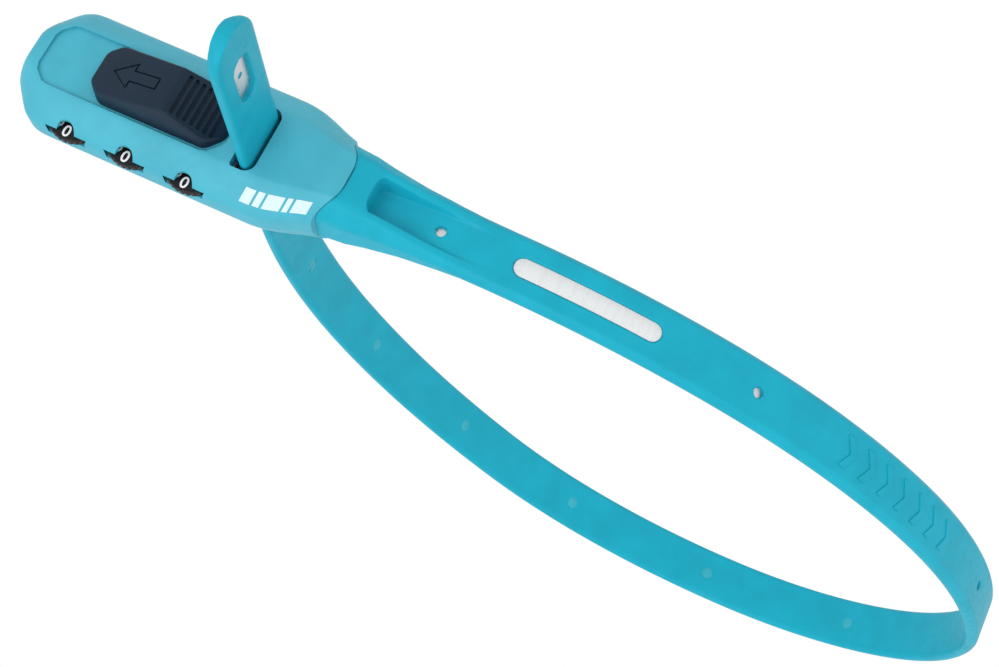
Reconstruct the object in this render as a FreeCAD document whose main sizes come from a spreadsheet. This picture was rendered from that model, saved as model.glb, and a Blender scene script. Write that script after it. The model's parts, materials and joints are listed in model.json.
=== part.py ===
"""Reusable strap lock with a three-dial head, laid on its side.

X runs from the dial end of the head towards the strap root, +Y is the side with
the release slider, and +Z is up from the resting side to the dials. The strap
leaves the head along +X, bends round below it and comes back up through the
slot along +Y. Millimetres throughout.
"""
import FreeCAD
import Part
import Sketcher
import math
import os

Vector = FreeCAD.Vector
Placement = FreeCAD.Placement
Rotation = FreeCAD.Rotation

doc = FreeCAD.newDocument("strap_lock")
sheet = doc.addObject("Spreadsheet::Sheet", "dims")

DRIVING = {
    # head shells, heights along Y from the strap's mid plane
    "half_width": 10.5,
    "head_left": -42.2,
    "head_right": 15.0,
    "top_level": 6.4,
    "bottom_level": -6.4,
    "bevel_level": 2.4,
    "shoulder_level": 5.0,
    "split_level": -0.8,
    "top_half": 6.3,
    "bottom_half": 8.3,
    "left_half": 4.8,
    "corner_left": -37.6,
    "taper_start": 1.0,
    "root_half": 6.7,
    "root_start": 9.8,
    "seam_left": 10.4,
    "seam_reach": 2.95,
    "seam_half": 5.6,
    "seam_gap": 0.12,
    "cavity_half": 7.6,
    "cavity_left": -39.4,
    "cavity_right": 1.6,
    "ceiling_level": 4.2,
    "floor_level": -5.0,
    "track_depth": 0.5,
    "track_half": 5.45,
    "track_left": -37.5,
    # slot for the strap's tail
    "slot_left": -3.9,
    "slot_right": -0.1,
    "slot_half": 5.7,
    "slot_corner": 1.8,
    # number wheels
    "wheel_pitch": 10.3,
    "wheel_first": -30.5,
    "wheel_height": 6.5,
    "wheel_radius": 4.7,
    "wheel_low": 1.1,
    "wheel_thick": 1.4,
    "wheel_gap": 0.7,
    "notch_radius": 1.55,
    "notch_height": 9.85,
    "axle_radius": 0.6,
    "hub_bore": 0.64,
    "hub_radius": 1.9,
    "hub_stem": 1.3,
    "hub_low": -2.6,
    "knurl_radius": 0.22,
    "knurl_count": 30,
    # slider
    "slider_left": -29.0,
    "slider_right": -6.3,
    "slider_half": 4.9,
    "slider_crest": -15.5,
    "crest_level": 11.2,
    "slider_low_end": 7.9,
    "slider_tip_level": 6.9,
    "slider_gap": 0.1,
    "groove_width": 6.7,
    "groove_length": 0.62,
    "groove_depth": 0.38,
    # strap
    "strap_width": 10.3,
    "strap_thick": 2.3,
    "core_width": 7.0,
    "core_thick": 0.8,
    "core_gap": 0.1,
    "hinge_gap": 0.12,
    "root_end": 34.0,
    "tail_x": -2.0,
    "tail_tip": 36.9,
    "window_centre": 25.3,
    "window_straight": 6.2,
    "window_half": 1.9,
    "peep_radius": 0.8,
    "tooth_pitch": 2.2,
    "tooth_count": 17.0,
    "first_tooth": 25.5,
    "tooth_depth": 0.45,
    "tooth_width": 5.2,
    "strip_width": 2.6,
    "strip_thick": 0.3,
    "strip_turn": 11.2,
    "strip_shift": 0.48,
}
SPAN_LENGTHS = (39.5, 47.0, 44.5, 38.0, 42.5, 60.5, 54.0, 49.0)
SPAN_TURNS = (18.0, 27.5, 29.5, 48.0, 51.5, 50.5, 21.0, 24.0)
CLOSING_SPAN = 5


def fill_sheet():
    for row, (alias, value) in enumerate(DRIVING.items(), start=1):
        sheet.set("A%d" % row, alias)
        sheet.set("B%d" % row, str(value))
        sheet.setAlias("B%d" % row, alias)


def dim(alias):
    return DRIVING[alias]


# ---------------------------------------------------------------- strap path
def arc_step(point, heading, length, turn):
    """The end of an arc that turns clockwise, and its heading there."""
    radius = length / math.radians(turn)
    start = math.radians(heading)
    end = math.radians(heading - turn)
    x = point[0] + radius * (math.sin(start) - math.sin(end))
    y = point[1] + radius * (math.cos(end) - math.cos(start))
    return (x, y), heading - turn


def walk(lengths):
    """The hinge points of the strap and the heading at each."""
    points = [(dim("root_end"), 0.0)]
    headings = [0.0]
    for length, turn in zip(lengths, SPAN_TURNS):
        point, heading = arc_step(points[-1], headings[-1], length, turn)
        points.append(point)
        headings.append(heading)
    return points, headings


def closed_lengths():
    """The span lengths, with one of them set so that the tail meets its slot."""
    lengths = list(SPAN_LENGTHS)
    miss = walk(lengths)[0][-1][0] - dim("tail_x")
    lengths[CLOSING_SPAN] += 1.0
    gain = walk(lengths)[0][-1][0] - dim("tail_x") - miss
    lengths[CLOSING_SPAN] -= 1.0 + miss / gain
    return lengths


LENGTHS = closed_lengths()
HINGES, HEADINGS = walk(LENGTHS)
for number, (span_length, span_turn) in enumerate(zip(LENGTHS, SPAN_TURNS), start=1):
    DRIVING["span_%d_radius" % number] = round(span_length / math.radians(span_turn), 4)
    DRIVING["span_%d_turn" % number] = span_turn
fill_sheet()
doc.recompute()


# ------------------------------------------------------------------- helpers
def new_body(label):
    """A body whose own Z = 0 is the strap's mid plane."""
    body = doc.addObject("PartDesign::Body", label)
    body.Label = label
    body.setExpression("Placement.Base.z", "dims.half_width")
    return body


def origin_plane(body, role):
    return [item for item in body.Origin.OriginFeatures if item.Role == role][0]


def new_sketch(body, name, role, offset="0"):
    """An empty sketch on an origin plane, moved along the plane's normal."""
    sketch = body.newObject("Sketcher::SketchObject", name)
    sketch.AttachmentSupport = [(origin_plane(body, role), "")]
    sketch.MapMode = "FlatFace"
    sketch.setExpression("AttachmentOffset.Base.z", offset)
    return sketch


def fix_point(sketch, geometry, place, expressions):
    """Ties a point of the sketch to the sheet by its two coordinates."""
    for kind, expression in zip(("DistanceX", "DistanceY"), expressions):
        value = float(sketch.evalExpression(expression))
        index = sketch.addConstraint(
            Sketcher.Constraint(kind, -1, 1, geometry, place, value)
        )
        sketch.setExpression("Constraints[%d]" % index, expression)


def add_polygon(sketch, points):
    """A closed outline of straight lines; each point is a pair of expressions."""
    corners = [
        Vector(float(sketch.evalExpression(x)), float(sketch.evalExpression(y)), 0)
        for x, y in points
    ]
    first = sketch.GeometryCount
    count = len(corners)
    for index in range(count):
        line = Part.LineSegment(corners[index], corners[(index + 1) % count])
        sketch.addGeometry(line)
    for index in range(count):
        following = first + (index + 1) % count
        sketch.addConstraint(
            Sketcher.Constraint("Coincident", first + index, 2, following, 1)
        )
    for index, expressions in enumerate(points):
        fix_point(sketch, first + index, 1, expressions)


def add_circle(sketch, centre, radius):
    value = float(sketch.evalExpression(radius))
    start = Vector(*(float(sketch.evalExpression(item)) for item in centre), 0)
    geometry = sketch.addGeometry(Part.Circle(start, Vector(0, 0, 1), value))
    fix_point(sketch, geometry, 3, centre)
    index = sketch.addConstraint(Sketcher.Constraint("Radius", geometry, value))
    sketch.setExpression("Constraints[%d]" % index, radius)


def drawn(body, name, role, offset, polygons=(), circles=()):
    """A sketch with the given outlines and circles."""
    sketch = new_sketch(body, name, role, offset)
    for points in polygons:
        add_polygon(sketch, points)
    for centre, radius in circles:
        add_circle(sketch, centre, radius)
    return sketch


def feature(body, kind, name, sketch, length, middle=False, flip=False):
    """A Pad or Pocket of the sketch that changes the body's volume."""
    doc.recompute()
    before = body.Shape.Volume if body.Tip else 0.0
    made = body.newObject("PartDesign::" + kind, name)
    made.Profile = sketch
    made.setExpression("Length", length)
    made.Midplane = middle
    made.Reversed = flip
    body.Tip = made
    doc.recompute()
    change = body.Shape.Volume - before
    if not body.Shape.isValid() or abs(change) < 1e-4 or (change > 0) != (kind == "Pad"):
        raise RuntimeError("%s changes the volume by %.4f" % (name, change))
    return made


def pad_up(body, name, low, height, polygons=(), circles=()):
    """Pads outlines drawn in X and Z from the level low towards +Y."""
    sketch = drawn(body, name + "_sketch", "XZ_Plane", "-(%s)" % low, polygons, circles)
    return feature(body, "Pad", name, sketch, height, flip=True)


def cut_up(body, name, low, height, polygons=(), circles=()):
    """Cuts outlines drawn in X and Z from the level low towards +Y."""
    sketch = drawn(body, name + "_sketch", "XZ_Plane", "-(%s)" % low, polygons, circles)
    return feature(body, "Pocket", name, sketch, height)


def pad_across(body, name, width, polygons=(), circles=(), offset="0"):
    """Pads outlines drawn in X and Y to both sides of the mid plane."""
    sketch = drawn(body, name + "_sketch", "XY_Plane", offset, polygons, circles)
    return feature(body, "Pad", name, sketch, width, middle=True)


def cut_across(body, name, width, polygons=(), circles=(), offset="0"):
    sketch = drawn(body, name + "_sketch", "XY_Plane", offset, polygons, circles)
    return feature(body, "Pocket", name, sketch, width, middle=True)


def mirrored(half):
    """A closed outline from its half on the +Z side, given from left to right."""
    lower = [(x, "-(%s)" % z) for x, z in half]
    return list(half)[::-1] + lower


def rectangle(left, right, low, high):
    return [(left, low), (right, low), (right, high), (left, high)]


def loft(body, name, sketches):
    made = body.newObject("PartDesign::AdditiveLoft", name)
    made.Profile = sketches[0]
    made.Sections = sketches[1:]
    made.Ruled = True
    body.Tip = made
    doc.recompute()
    return made


def round_edges(body, name, wanted, radius):
    """Rounds the body's edges that wanted() picks."""
    doc.recompute()
    base = body.Tip
    picked = []
    for index, edge in enumerate(body.Tip.Shape.Edges, start=1):
        if wanted(edge):
            picked.append("Edge%d" % index)
    made = body.newObject("PartDesign::Fillet", name)
    made.Base = (base, picked)
    made.setExpression("Radius", radius)
    body.Tip = made
    doc.recompute()
    if not body.Shape.isValid() or body.Shape.Volume > base.Shape.Volume:
        raise RuntimeError("%s fails" % name)


def rod(name, radius, length, start, direction):
    """A Part cylinder of the given radius from start along direction."""
    made = doc.addObject("Part::Cylinder", name)
    made.setExpression("Radius", radius)
    made.setExpression("Height", length)
    made.Placement = Placement(Vector(*start), Rotation(Vector(0, 0, 1), Vector(*direction)))
    return made


def joined(label, kind, pieces):
    """One Part object from several: Part::Compound or Part::MultiFuse."""
    made = doc.addObject(kind, label)
    made.Label = label
    if kind == "Part::Compound":
        made.Links = pieces
    else:
        made.Shapes = pieces
    return made


def minus(label, base, tool):
    made = doc.addObject("Part::Cut", label)
    made.Label = label
    made.Base = base
    made.Tool = tool
    return made


def wheel_x(number):
    return "(dims.wheel_first + %d * dims.wheel_pitch)" % number


def wheel_circles(radius):
    """A circle round each number wheel's axis."""
    return [((wheel_x(number), "dims.wheel_height"), radius) for number in range(3)]


def wheel_place(number):
    """The X and world Z of a number wheel's axis."""
    x = dim("wheel_first") + number * dim("wheel_pitch")
    return x, dim("half_width") + dim("wheel_height")


# --------------------------------------------------------------- head shells
WIDEST = [
    ("dims.head_left", "dims.left_half"),
    ("dims.corner_left", "dims.half_width"),
    ("dims.taper_start", "dims.half_width"),
    ("3.5", "10.15"),
    ("6", "9.35"),
    ("8.5", "8.35"),
    ("11", "7.55"),
    ("dims.head_right", "dims.root_half"),
]
SHOULDER = [
    ("dims.head_left + 0.7", "4.2"),
    ("dims.corner_left + 0.5", "8.6"),
    ("dims.taper_start - 0.4", "8.6"),
    ("3.4", "8.3"),
    ("5.8", "7.7"),
    ("8.4", "6.9"),
    ("11", "6.25"),
    ("dims.head_right", "5.6"),
]
TOP = [
    ("dims.head_left + 1.9", "3"),
    ("dims.corner_left + 1.4", "dims.top_half"),
    ("dims.taper_start - 1", "dims.top_half"),
    ("3.2", "6.15"),
    ("5.6", "5.8"),
    ("8.3", "5.25"),
    ("11", "4.75"),
    ("dims.head_right", "4.3"),
]
BOTTOM = [
    ("dims.head_left + 2.2", "4.02"),
    ("dims.corner_left + 1.05", "dims.bottom_half"),
    ("dims.taper_start - 0.3", "dims.bottom_half"),
    ("2.9", "8.0"),
    ("5.2", "7.28"),
    ("7.7", "6.28"),
    ("10.25", "5.46"),
    ("dims.head_right", "4.5"),
]
CAVITY = [
    ("dims.cavity_left", "3.2"),
    ("dims.cavity_left + 3.2", "dims.cavity_half"),
    ("dims.cavity_right", "dims.cavity_half"),
]
TRACK = [
    ("dims.track_left", "3.4"),
    ("dims.track_left + 2.2", "dims.track_half"),
    ("dims.slider_right - 1.5", "dims.track_half"),
    ("dims.slider_right + 0.5", "2.9"),
]
SLOT = [
    ("dims.slot_left", "-dims.slot_half"),
    ("dims.slot_right - dims.slot_corner", "-dims.slot_half"),
    ("dims.slot_right - 0.3 * dims.slot_corner", "-dims.slot_half + 0.3 * dims.slot_corner"),
    ("dims.slot_right", "-dims.slot_half + dims.slot_corner"),
    ("dims.slot_right", "dims.slot_half - dims.slot_corner"),
    ("dims.slot_right - 0.3 * dims.slot_corner", "dims.slot_half - 0.3 * dims.slot_corner"),
    ("dims.slot_right - dims.slot_corner", "dims.slot_half"),
    ("dims.slot_left", "dims.slot_half"),
]
SEAM_STEPS = 12
SCREWS = [("-37.8", "0"), ("-18", "-5.9"), ("6.5", "4.4"), ("6.5", "-4.4")]
RIVETS = [("4", "0"), ("9", "0")]
TONGUE = rectangle("1.4", "dims.head_right", "-dims.core_width / 2 - 0.1", "dims.core_width / 2 + 0.1")


def seam_line(extra):
    """Points of the curved seam between head and strap root, moved right by extra."""
    points = []
    for step in range(-SEAM_STEPS, SEAM_STEPS + 1):
        z = "(%d * dims.half_width / %d)" % (step, SEAM_STEPS)
        swell = "exp(-1 * pow(%s / dims.seam_half; 4))" % z
        x = "dims.seam_left + dims.seam_reach * %s + %s" % (swell, extra)
        points.append((x, z))
    return points


def cut_at_seam(body, name):
    """Takes away what lies on the strap root's side of the seam."""
    far = "dims.head_right + 2"
    outline = seam_line("0") + [(far, "dims.half_width"), (far, "-dims.half_width")]
    cut_up(body, name, "dims.bottom_level - 1", "16", [outline])


def make_head_cover():
    body = new_body("head_cover")
    pad_up(body, "cover_wall", "dims.split_level", "dims.bevel_level - dims.split_level",
           [mirrored(WIDEST)])
    levels = (("low", "dims.bevel_level", WIDEST), ("mid", "dims.shoulder_level", SHOULDER),
              ("high", "dims.top_level", TOP))
    sketches = [
        drawn(body, "cover_bevel_" + name, "XZ_Plane", "-" + level, [mirrored(outline)])
        for name, level, outline in levels
    ]
    loft(body, "cover_bevel", sketches)
    cut_up(body, "cover_cavity", "dims.split_level", "dims.ceiling_level - dims.split_level",
           [mirrored(CAVITY)])
    cut_up(body, "slider_track", "dims.top_level - dims.track_depth", "5", [mirrored(TRACK)])
    cut_up(body, "stem_slot", "0", "dims.top_level",
           [rectangle("-28.2", "-13.8", "-1.8", "1.8")])
    cut_up(body, "tail_slot", "dims.split_level - 1", "9", [SLOT])
    cut_up(body, "wheel_slots", "dims.wheel_low - 0.15", "dims.wheel_thick + 0.3",
           circles=wheel_circles("dims.wheel_radius + dims.wheel_gap"))
    notches = [
        ((wheel_x(number), "dims.notch_height"), "dims.notch_radius") for number in range(3)
    ]
    cut_up(body, "number_notches", "dims.wheel_low + dims.wheel_thick", "6", circles=notches)
    bosses = [(SCREWS[0], "1.5"), (SCREWS[1], "1.5")]
    pad_up(body, "cover_bosses", "dims.split_level", "dims.ceiling_level - dims.split_level + 0.1",
           circles=bosses)
    pad_up(body, "spring_stop", "1.6", "dims.ceiling_level - 1.5",
           [rectangle("-37", "-36", "-4.1", "-1.9")])
    cut_up(body, "cover_hub_seats", "-1", "dims.wheel_low + 1",
           circles=wheel_circles("dims.hub_radius + 0.15"))
    cut_up(body, "cover_axle_holes", "-1", "6",
           circles=wheel_circles("dims.axle_radius + 0.02"))
    cut_up(body, "cover_screw_holes", "dims.split_level - 0.2", "4.6",
           circles=[(place, "0.7") for place in SCREWS])
    cut_up(body, "cover_tongue_groove", "dims.split_level - 0.1",
           "dims.core_thick / 2 + 0.15 - dims.split_level", [TONGUE])
    cut_up(body, "cover_rivet_holes", "dims.split_level", "1.6 - dims.split_level",
           circles=[(place, "1.05") for place in RIVETS])
    cut_at_seam(body, "cover_seam")


def make_head_base():
    body = new_body("head_base")
    low = drawn(body, "base_outline_low", "XZ_Plane", "-dims.bottom_level", [mirrored(BOTTOM)])
    high = drawn(body, "base_outline_high", "XZ_Plane", "-dims.split_level", [mirrored(WIDEST)])
    loft(body, "base_block", [low, high])
    cut_up(body, "base_cavity", "dims.floor_level", "6", [mirrored(CAVITY)])
    cut_up(body, "base_tail_slot", "dims.bottom_level - 1", "8", [SLOT])
    bosses = [(SCREWS[0], "1.5"), (SCREWS[1], "1.5")]
    pad_up(body, "base_bosses", "dims.floor_level - 0.1", "dims.split_level - dims.floor_level + 0.1",
           circles=bosses)
    pad_up(body, "axle_seats", "dims.floor_level - 0.1", "1.9", circles=wheel_circles("1.3"))
    cut_up(body, "hub_seats", "dims.hub_low - 0.15", "4",
           circles=wheel_circles("dims.hub_radius + 0.15"))
    cut_up(body, "axle_holes", "dims.floor_level - 0.4", "6",
           circles=wheel_circles("dims.axle_radius + 0.02"))
    cut_up(body, "base_screw_holes", "dims.bottom_level - 1", "9",
           circles=[(place, "0.92") for place in SCREWS])
    cut_up(body, "screw_head_seats", "dims.bottom_level - 0.5", "1.6",
           circles=[(place, "1.55") for place in SCREWS])
    land = rectangle("1.7", "dims.head_right", "-3.4", "3.4")
    pad_up(body, "tongue_land", "dims.split_level - 0.1", "0.45", [land])
    cut_up(body, "base_rivet_holes", "-4.2", "6", circles=[(place, "1.05") for place in RIVETS])
    cut_up(body, "reset_hole", "dims.bottom_level - 1", "4", circles=[(("-33", "-5"), "1.42")])
    cut_across(body, "pawl_pin_hole", "16.8", circles=[(("-6.6", "-3.7"), "0.78")])
    cut_at_seam(body, "base_seam")


def make_strap_guide():
    """A steel box round the slot that guides the tail, open to the pawl."""
    body = new_body("strap_guide")
    outer = rectangle("-4.6", "0.6", "-6.4", "6.4")
    inner = rectangle("-3.75", "-0.25", "-5.55", "5.55")
    pad_up(body, "guide_box", "-4.9", "8.9", [outer])
    cut_up(body, "guide_passage", "-6", "12", [inner])
    window = rectangle("-5", "-3.5", "-0.5", "2.6")
    cut_across(body, "pawl_window", "6.2", [window])


# Sections of the strap root: x, half width, half width of the top, top and bottom levels.
ROOT_SECTIONS = (
    ("dims.root_start", "7.9", "4.8", "dims.top_level", "-5.8"),
    ("11", "7.55", "4.75", "dims.top_level", "-5.6"),
    ("14", "6.7", "4.5", "5.85", "-5"),
    ("18", "6.15", "4.5", "4.75", "-4"),
    ("24", "5.55", "4.6", "3.1", "-2.6"),
    ("30", "5.25", "4.7", "1.7", "-1.6"),
    ("dims.root_end", "dims.strap_width / 2", "dims.strap_width / 2 - 0.4",
     "dims.strap_thick / 2", "-dims.strap_thick / 2"),
)
ROOT_POCKET = [("17.2", "1.9"), ("18.8", "3.4"), ("33", "3.9")]


def make_root_sleeve():
    """The overmoulded end of the strap: as deep as the head at the seam, thin at its end."""
    body = new_body("sleeve_root")
    sections = []
    for number, (x, half, top_half, top, bottom) in enumerate(ROOT_SECTIONS):
        mid = "(%s + %s) / 2" % (top, bottom)
        outline = [
            (bottom, "-(%s) + 0.5" % half), (mid, "-(%s)" % half), (top, "-(%s)" % top_half),
            (top, top_half), (mid, half), (bottom, "%s - 0.5" % half),
        ]
        sections.append(drawn(body, "root_section_%d" % number, "YZ_Plane", x, [outline]))
    loft(body, "root_block", sections)
    knuckle_circle = [(("dims.root_end", "0"), "dims.strap_thick / 2")]
    pad_across(body, "root_knuckle", "dims.strap_width", circles=knuckle_circle)
    slot = rectangle(
        "dims.root_start - 1", "dims.root_end",
        "-dims.core_thick / 2 - dims.core_gap / 2", "dims.core_thick / 2 + dims.core_gap / 2",
    )
    cut_across(body, "root_core_slot", "dims.core_width + 0.2", [slot])
    cut_up(body, "root_pocket", "dims.strap_thick / 2 + 0.05", "7", [mirrored(ROOT_POCKET)])
    cut_up(body, "root_peep", "0", "6", circles=[(("28.5", "0"), "dims.peep_radius")])
    near = "dims.root_start - 2"
    seam = seam_line("dims.seam_gap") + [(near, "dims.half_width"), (near, "-dims.half_width")]
    cut_up(body, "root_seam", "dims.bottom_level - 1", "16", [seam])


def make_root_core():
    body = new_body("core_root")
    blade = rectangle("1.6", "dims.root_end - 0.3", "-dims.core_thick / 2", "dims.core_thick / 2")
    pad_across(body, "root_blade", "dims.core_width", [blade])
    cut_up(body, "root_blade_holes", "-3", "6", circles=[(place, "1.05") for place in RIVETS])


def make_anchor_rivets():
    pieces = []
    for number, (x, z) in enumerate(RIVETS, start=1):
        start = (float(x), -4.1, dim("half_width") + float(z))
        pieces.append(rod("rivet_%d" % number, "1", "5.6", start, (0, 1, 0)))
    joined("anchor_rivets", "Part::Compound", pieces)


def make_base_screws():
    pieces = []
    for number, (x, z) in enumerate(SCREWS, start=1):
        place = (float(x), dim("bottom_level"), dim("half_width") + float(z))
        shaft = rod("screw_shaft_%d" % number, "0.68", "9.2", place, (0, 1, 0))
        head_start = (place[0], place[1] + 0.1, place[2])
        head = rod("screw_head_%d" % number, "1.45", "0.95", head_start, (0, 1, 0))
        socket = rod("screw_socket_%d" % number, "0.55", "0.7", place, (0, 1, 0))
        solid = joined("screw_solid_%d" % number, "Part::MultiFuse", [shaft, head])
        pieces.append(minus("screw_%d" % number, solid, socket))
    joined("base_screws", "Part::Compound", pieces)


# -------------------------------------------------------------- number wheels
def make_wheel(number):
    label = "number_wheel_%d" % (number + 1)
    centre = (wheel_x(number), "dims.wheel_height")
    body = new_body(label)
    pad_up(body, label + "_disc", "dims.wheel_low", "dims.wheel_thick",
           circles=[(centre, "dims.wheel_radius")])
    round_edges(body, label + "_rounding", lambda edge: True, "0.25")
    cut_up(body, label + "_bore", "-1", "5", circles=[(centre, "dims.hub_stem")])
    notches = []
    for step in range(int(dim("knurl_count"))):
        angle = "360 * %d / dims.knurl_count" % step
        notches.append(((
            "%s + dims.wheel_radius * cos(%s)" % (centre[0], angle),
            "%s + dims.wheel_radius * sin(%s)" % (centre[1], angle),
        ), "dims.knurl_radius"))
    cut_up(body, label + "_knurl", "dims.wheel_low - 0.1", "dims.wheel_thick + 0.2",
           circles=notches)


def make_hub(number):
    label = "cam_hub_%d" % (number + 1)
    centre = (wheel_x(number), "dims.wheel_height")
    body = new_body(label)
    pad_up(body, label + "_cam", "dims.hub_low", "dims.wheel_low - dims.hub_low",
           circles=[(centre, "dims.hub_radius")])
    pad_up(body, label + "_stem", "dims.wheel_low", "dims.wheel_thick",
           circles=[(centre, "dims.hub_stem - 0.01")])
    cut_up(body, label + "_bore", "-4", "8", circles=[(centre, "dims.hub_bore")])
    flat = rectangle("%s - 4" % centre[0], "%s + 4" % centre[0],
                     "dims.wheel_height - 4", "dims.wheel_height - 1.4")
    cut_up(body, label + "_flat", "dims.hub_low - 0.1", "1.7", [flat])


def make_axles():
    pieces = []
    for number in range(3):
        x, z = wheel_place(number)
        start = (x, dim("floor_level") - 0.3, z)
        pieces.append(rod("axle_%d" % (number + 1), "dims.axle_radius", "10.2", start, (0, 1, 0)))
    joined("dial_axles", "Part::Compound", pieces)


def make_detent_spring():
    """A leaf along the three wheels with a low bump for each."""
    body = new_body("detent_spring")
    leaf = rectangle("-35.8", "-8.6", "1.05", "1.35")
    pad_up(body, "leaf", "1.4", "0.7", [leaf])
    bumps = [((wheel_x(number), "1.2"), "0.4") for number in range(3)]
    pad_up(body, "leaf_bumps", "1.4", "0.7", circles=bumps)


# --------------------------------------------------------------------- slider
SLIDER_PLAN = [
    ("dims.slider_left", "2.6"),
    ("dims.slider_left + 0.7", "4"),
    ("dims.slider_left + 2.2", "dims.slider_half"),
    ("dims.slider_right - 2.4", "dims.slider_half"),
    ("dims.slider_right - 0.8", "3.8"),
    ("dims.slider_right", "2.2"),
]


def make_slider_button():
    body = new_body("slider_button")
    low = "dims.top_level - dims.track_depth + dims.slider_gap"
    side = [
        ("dims.slider_left - 1", low),
        ("dims.slider_right + 1", low),
        ("dims.slider_right + 1", "dims.slider_tip_level - 0.5"),
        ("dims.slider_crest", "dims.crest_level"),
        ("dims.slider_left - 1", "dims.slider_low_end"),
    ]
    pad_across(body, "slider_block", "14", [side])
    frame = [rectangle("-40", "0", "-9", "9"), mirrored(SLIDER_PLAN)]
    cut_up(body, "slider_outline", "2", "14", frame)
    for number, end in enumerate(("9", "-9")):
        flank = [
            (low, "dims.slider_half * %s / 9" % end),
            ("dims.crest_level + 0.7", "4.0 * %s / 9" % end),
            ("dims.crest_level + 0.7", end),
            (low, end),
        ]
        sketch = drawn(body, "slider_flank_sketch_%d" % number, "YZ_Plane", "-45", [flank])
        feature(body, "Pocket", "slider_flank_%d" % number, sketch, "60", flip=True)
    round_edges(body, "slider_rounding", slider_edge, "0.7")
    grooves = []
    run = "(dims.slider_right - dims.slider_crest)"
    fall = "(dims.slider_tip_level - dims.crest_level)"
    for step in range(7):
        left = "dims.slider_crest + %s * %.3f" % (run, 0.10 + step * 0.118)
        level = "dims.crest_level + %s * %.3f" % (fall, 0.09 + step * 0.105)
        grooves.append([
            (left, "%s + 0.6" % level),
            (left, "%s - dims.groove_depth" % level),
            (left + " + dims.groove_length", "%s - dims.groove_depth - 0.25" % level),
            (left + " + dims.groove_length", "%s + 0.6" % level),
        ])
    cut_across(body, "thumb_grooves", "dims.groove_width", grooves)


def slider_edge(edge):
    """True for the slider's long upper edges."""
    box = edge.BoundBox
    return box.YMin > dim("top_level") + 0.4


def make_slider_carriage():
    body = new_body("slider_carriage")
    pad_up(body, "carriage_plate", "2.75", "1.3", [rectangle("-27", "-9", "-3.9", "1.1")])
    pad_up(body, "carriage_stem", "4.0", "dims.top_level - dims.track_depth + dims.slider_gap - 4.0",
           [rectangle("-22", "-14", "-1.6", "1.6")])


def make_locking_bar():
    """The plate that the wheels' cam hubs block, with a post up to the carriage.

    A ramp finger at its end pushes the pawl's lever down as the bar slides left.
    """
    body = new_body("locking_bar")
    plate = [
        ("-29", "-2"), ("-9.6", "-2"), ("-9.6", "2"), ("-11.7", "2"), ("-11.7", "3.2"),
        ("-29", "3.2"),
    ]
    pad_up(body, "bar_plate", "-2.3", "1.4", [plate])
    lugs = []
    for number in range(2):
        x = wheel_x(number)
        lugs.append(rectangle(x + " + 1.6", x + " + 3.6", "3", "4.4"))
    pad_up(body, "bar_lugs", "-2.3", "1.4", lugs)
    pad_up(body, "bar_post", "-2.3", "5.05", [rectangle("-14", "-10.4", "-3.6", "-1")])
    ramp = [
        ("-11.8", "-0.9"), ("-11.8", "-1.85"), ("-11", "-1.85"), ("-5", "-2.5"),
        ("-5", "-0.9"),
    ]
    pad_across(body, "bar_ramp", "0.8", [ramp], offset="2.7")


def coil(label, radius, wire, pitch, height, start, direction):
    """A round-wire spring as a swept helix."""
    path = doc.addObject("Part::Helix", label + "_path")
    path.Radius = radius
    path.Pitch = pitch
    path.Height = height
    ring = doc.addObject("Part::Circle", label + "_wire")
    ring.Radius = wire
    ring.Placement = Placement(Vector(radius, 0, 0), Rotation(Vector(1, 0, 0), 90))
    made = doc.addObject("Part::Sweep", label)
    made.Label = label
    made.Sections = [ring]
    made.Spine = (path, ["Edge1"])
    made.Solid = True
    made.Frenet = True
    made.Placement = Placement(Vector(*start), Rotation(Vector(0, 0, 1), Vector(*direction)))


def make_springs():
    middle = dim("half_width")
    coil("slider_spring", 0.8, 0.16, 1.0, 8.0, (-35.8, 3.05, middle - 3.0), (1, 0, 0))
    coil("reset_spring", 0.8, 0.14, 1.0, 7.8, (-33.0, -4.0, middle - 5.0), (0, 1, 0))
    coil("pawl_spring", 0.7, 0.16, 0.8, 3.7, (-11.8, -3.6, middle), (1, 0, 0))


# ------------------------------------------------------------- pawl and reset
def make_pawl():
    body = new_body("pawl")
    side = [
        ("-7.9", "-4.6"), ("-5.4", "-4.6"), ("-4.9", "-2.6"), ("-4.9", "0.2"),
        ("-3.25", "1.0"), ("-3.25", "1.3"), ("-4.9", "1.9"), ("-6.2", "1.9"), ("-7.9", "-2.6"),
    ]
    pad_across(body, "pawl_arm", "4.4", [side])
    lever = [
        ("-5.7", "-4.5"), ("-5.7", "-3"), ("-10.6", "-3.2"), ("-10.6", "-1.9"),
        ("-11.4", "-1.9"), ("-11.6", "-3.2"), ("-11.6", "-4.2"),
    ]
    pad_across(body, "pawl_lever", "1", [lever], offset="2.7")
    cut_across(body, "pawl_bore", "8", circles=[(("-6.6", "-3.7"), "0.8")])


def make_pawl_pin():
    start = (-6.6, -3.7, dim("half_width") - 8.2)
    pin = rod("pawl_pin", "0.75", "16.4", start, (0, 0, 1))
    pin.Label = "pawl_pin"


def make_reset_button():
    body = new_body("reset_button")
    pad_up(body, "reset_stem", "dims.bottom_level + 0.3", "2", circles=[(("-33", "-5"), "1.35")])
    pad_up(body, "reset_flange", "dims.floor_level + 0.05", "0.8", circles=[(("-33", "-5"), "2")])


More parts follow.
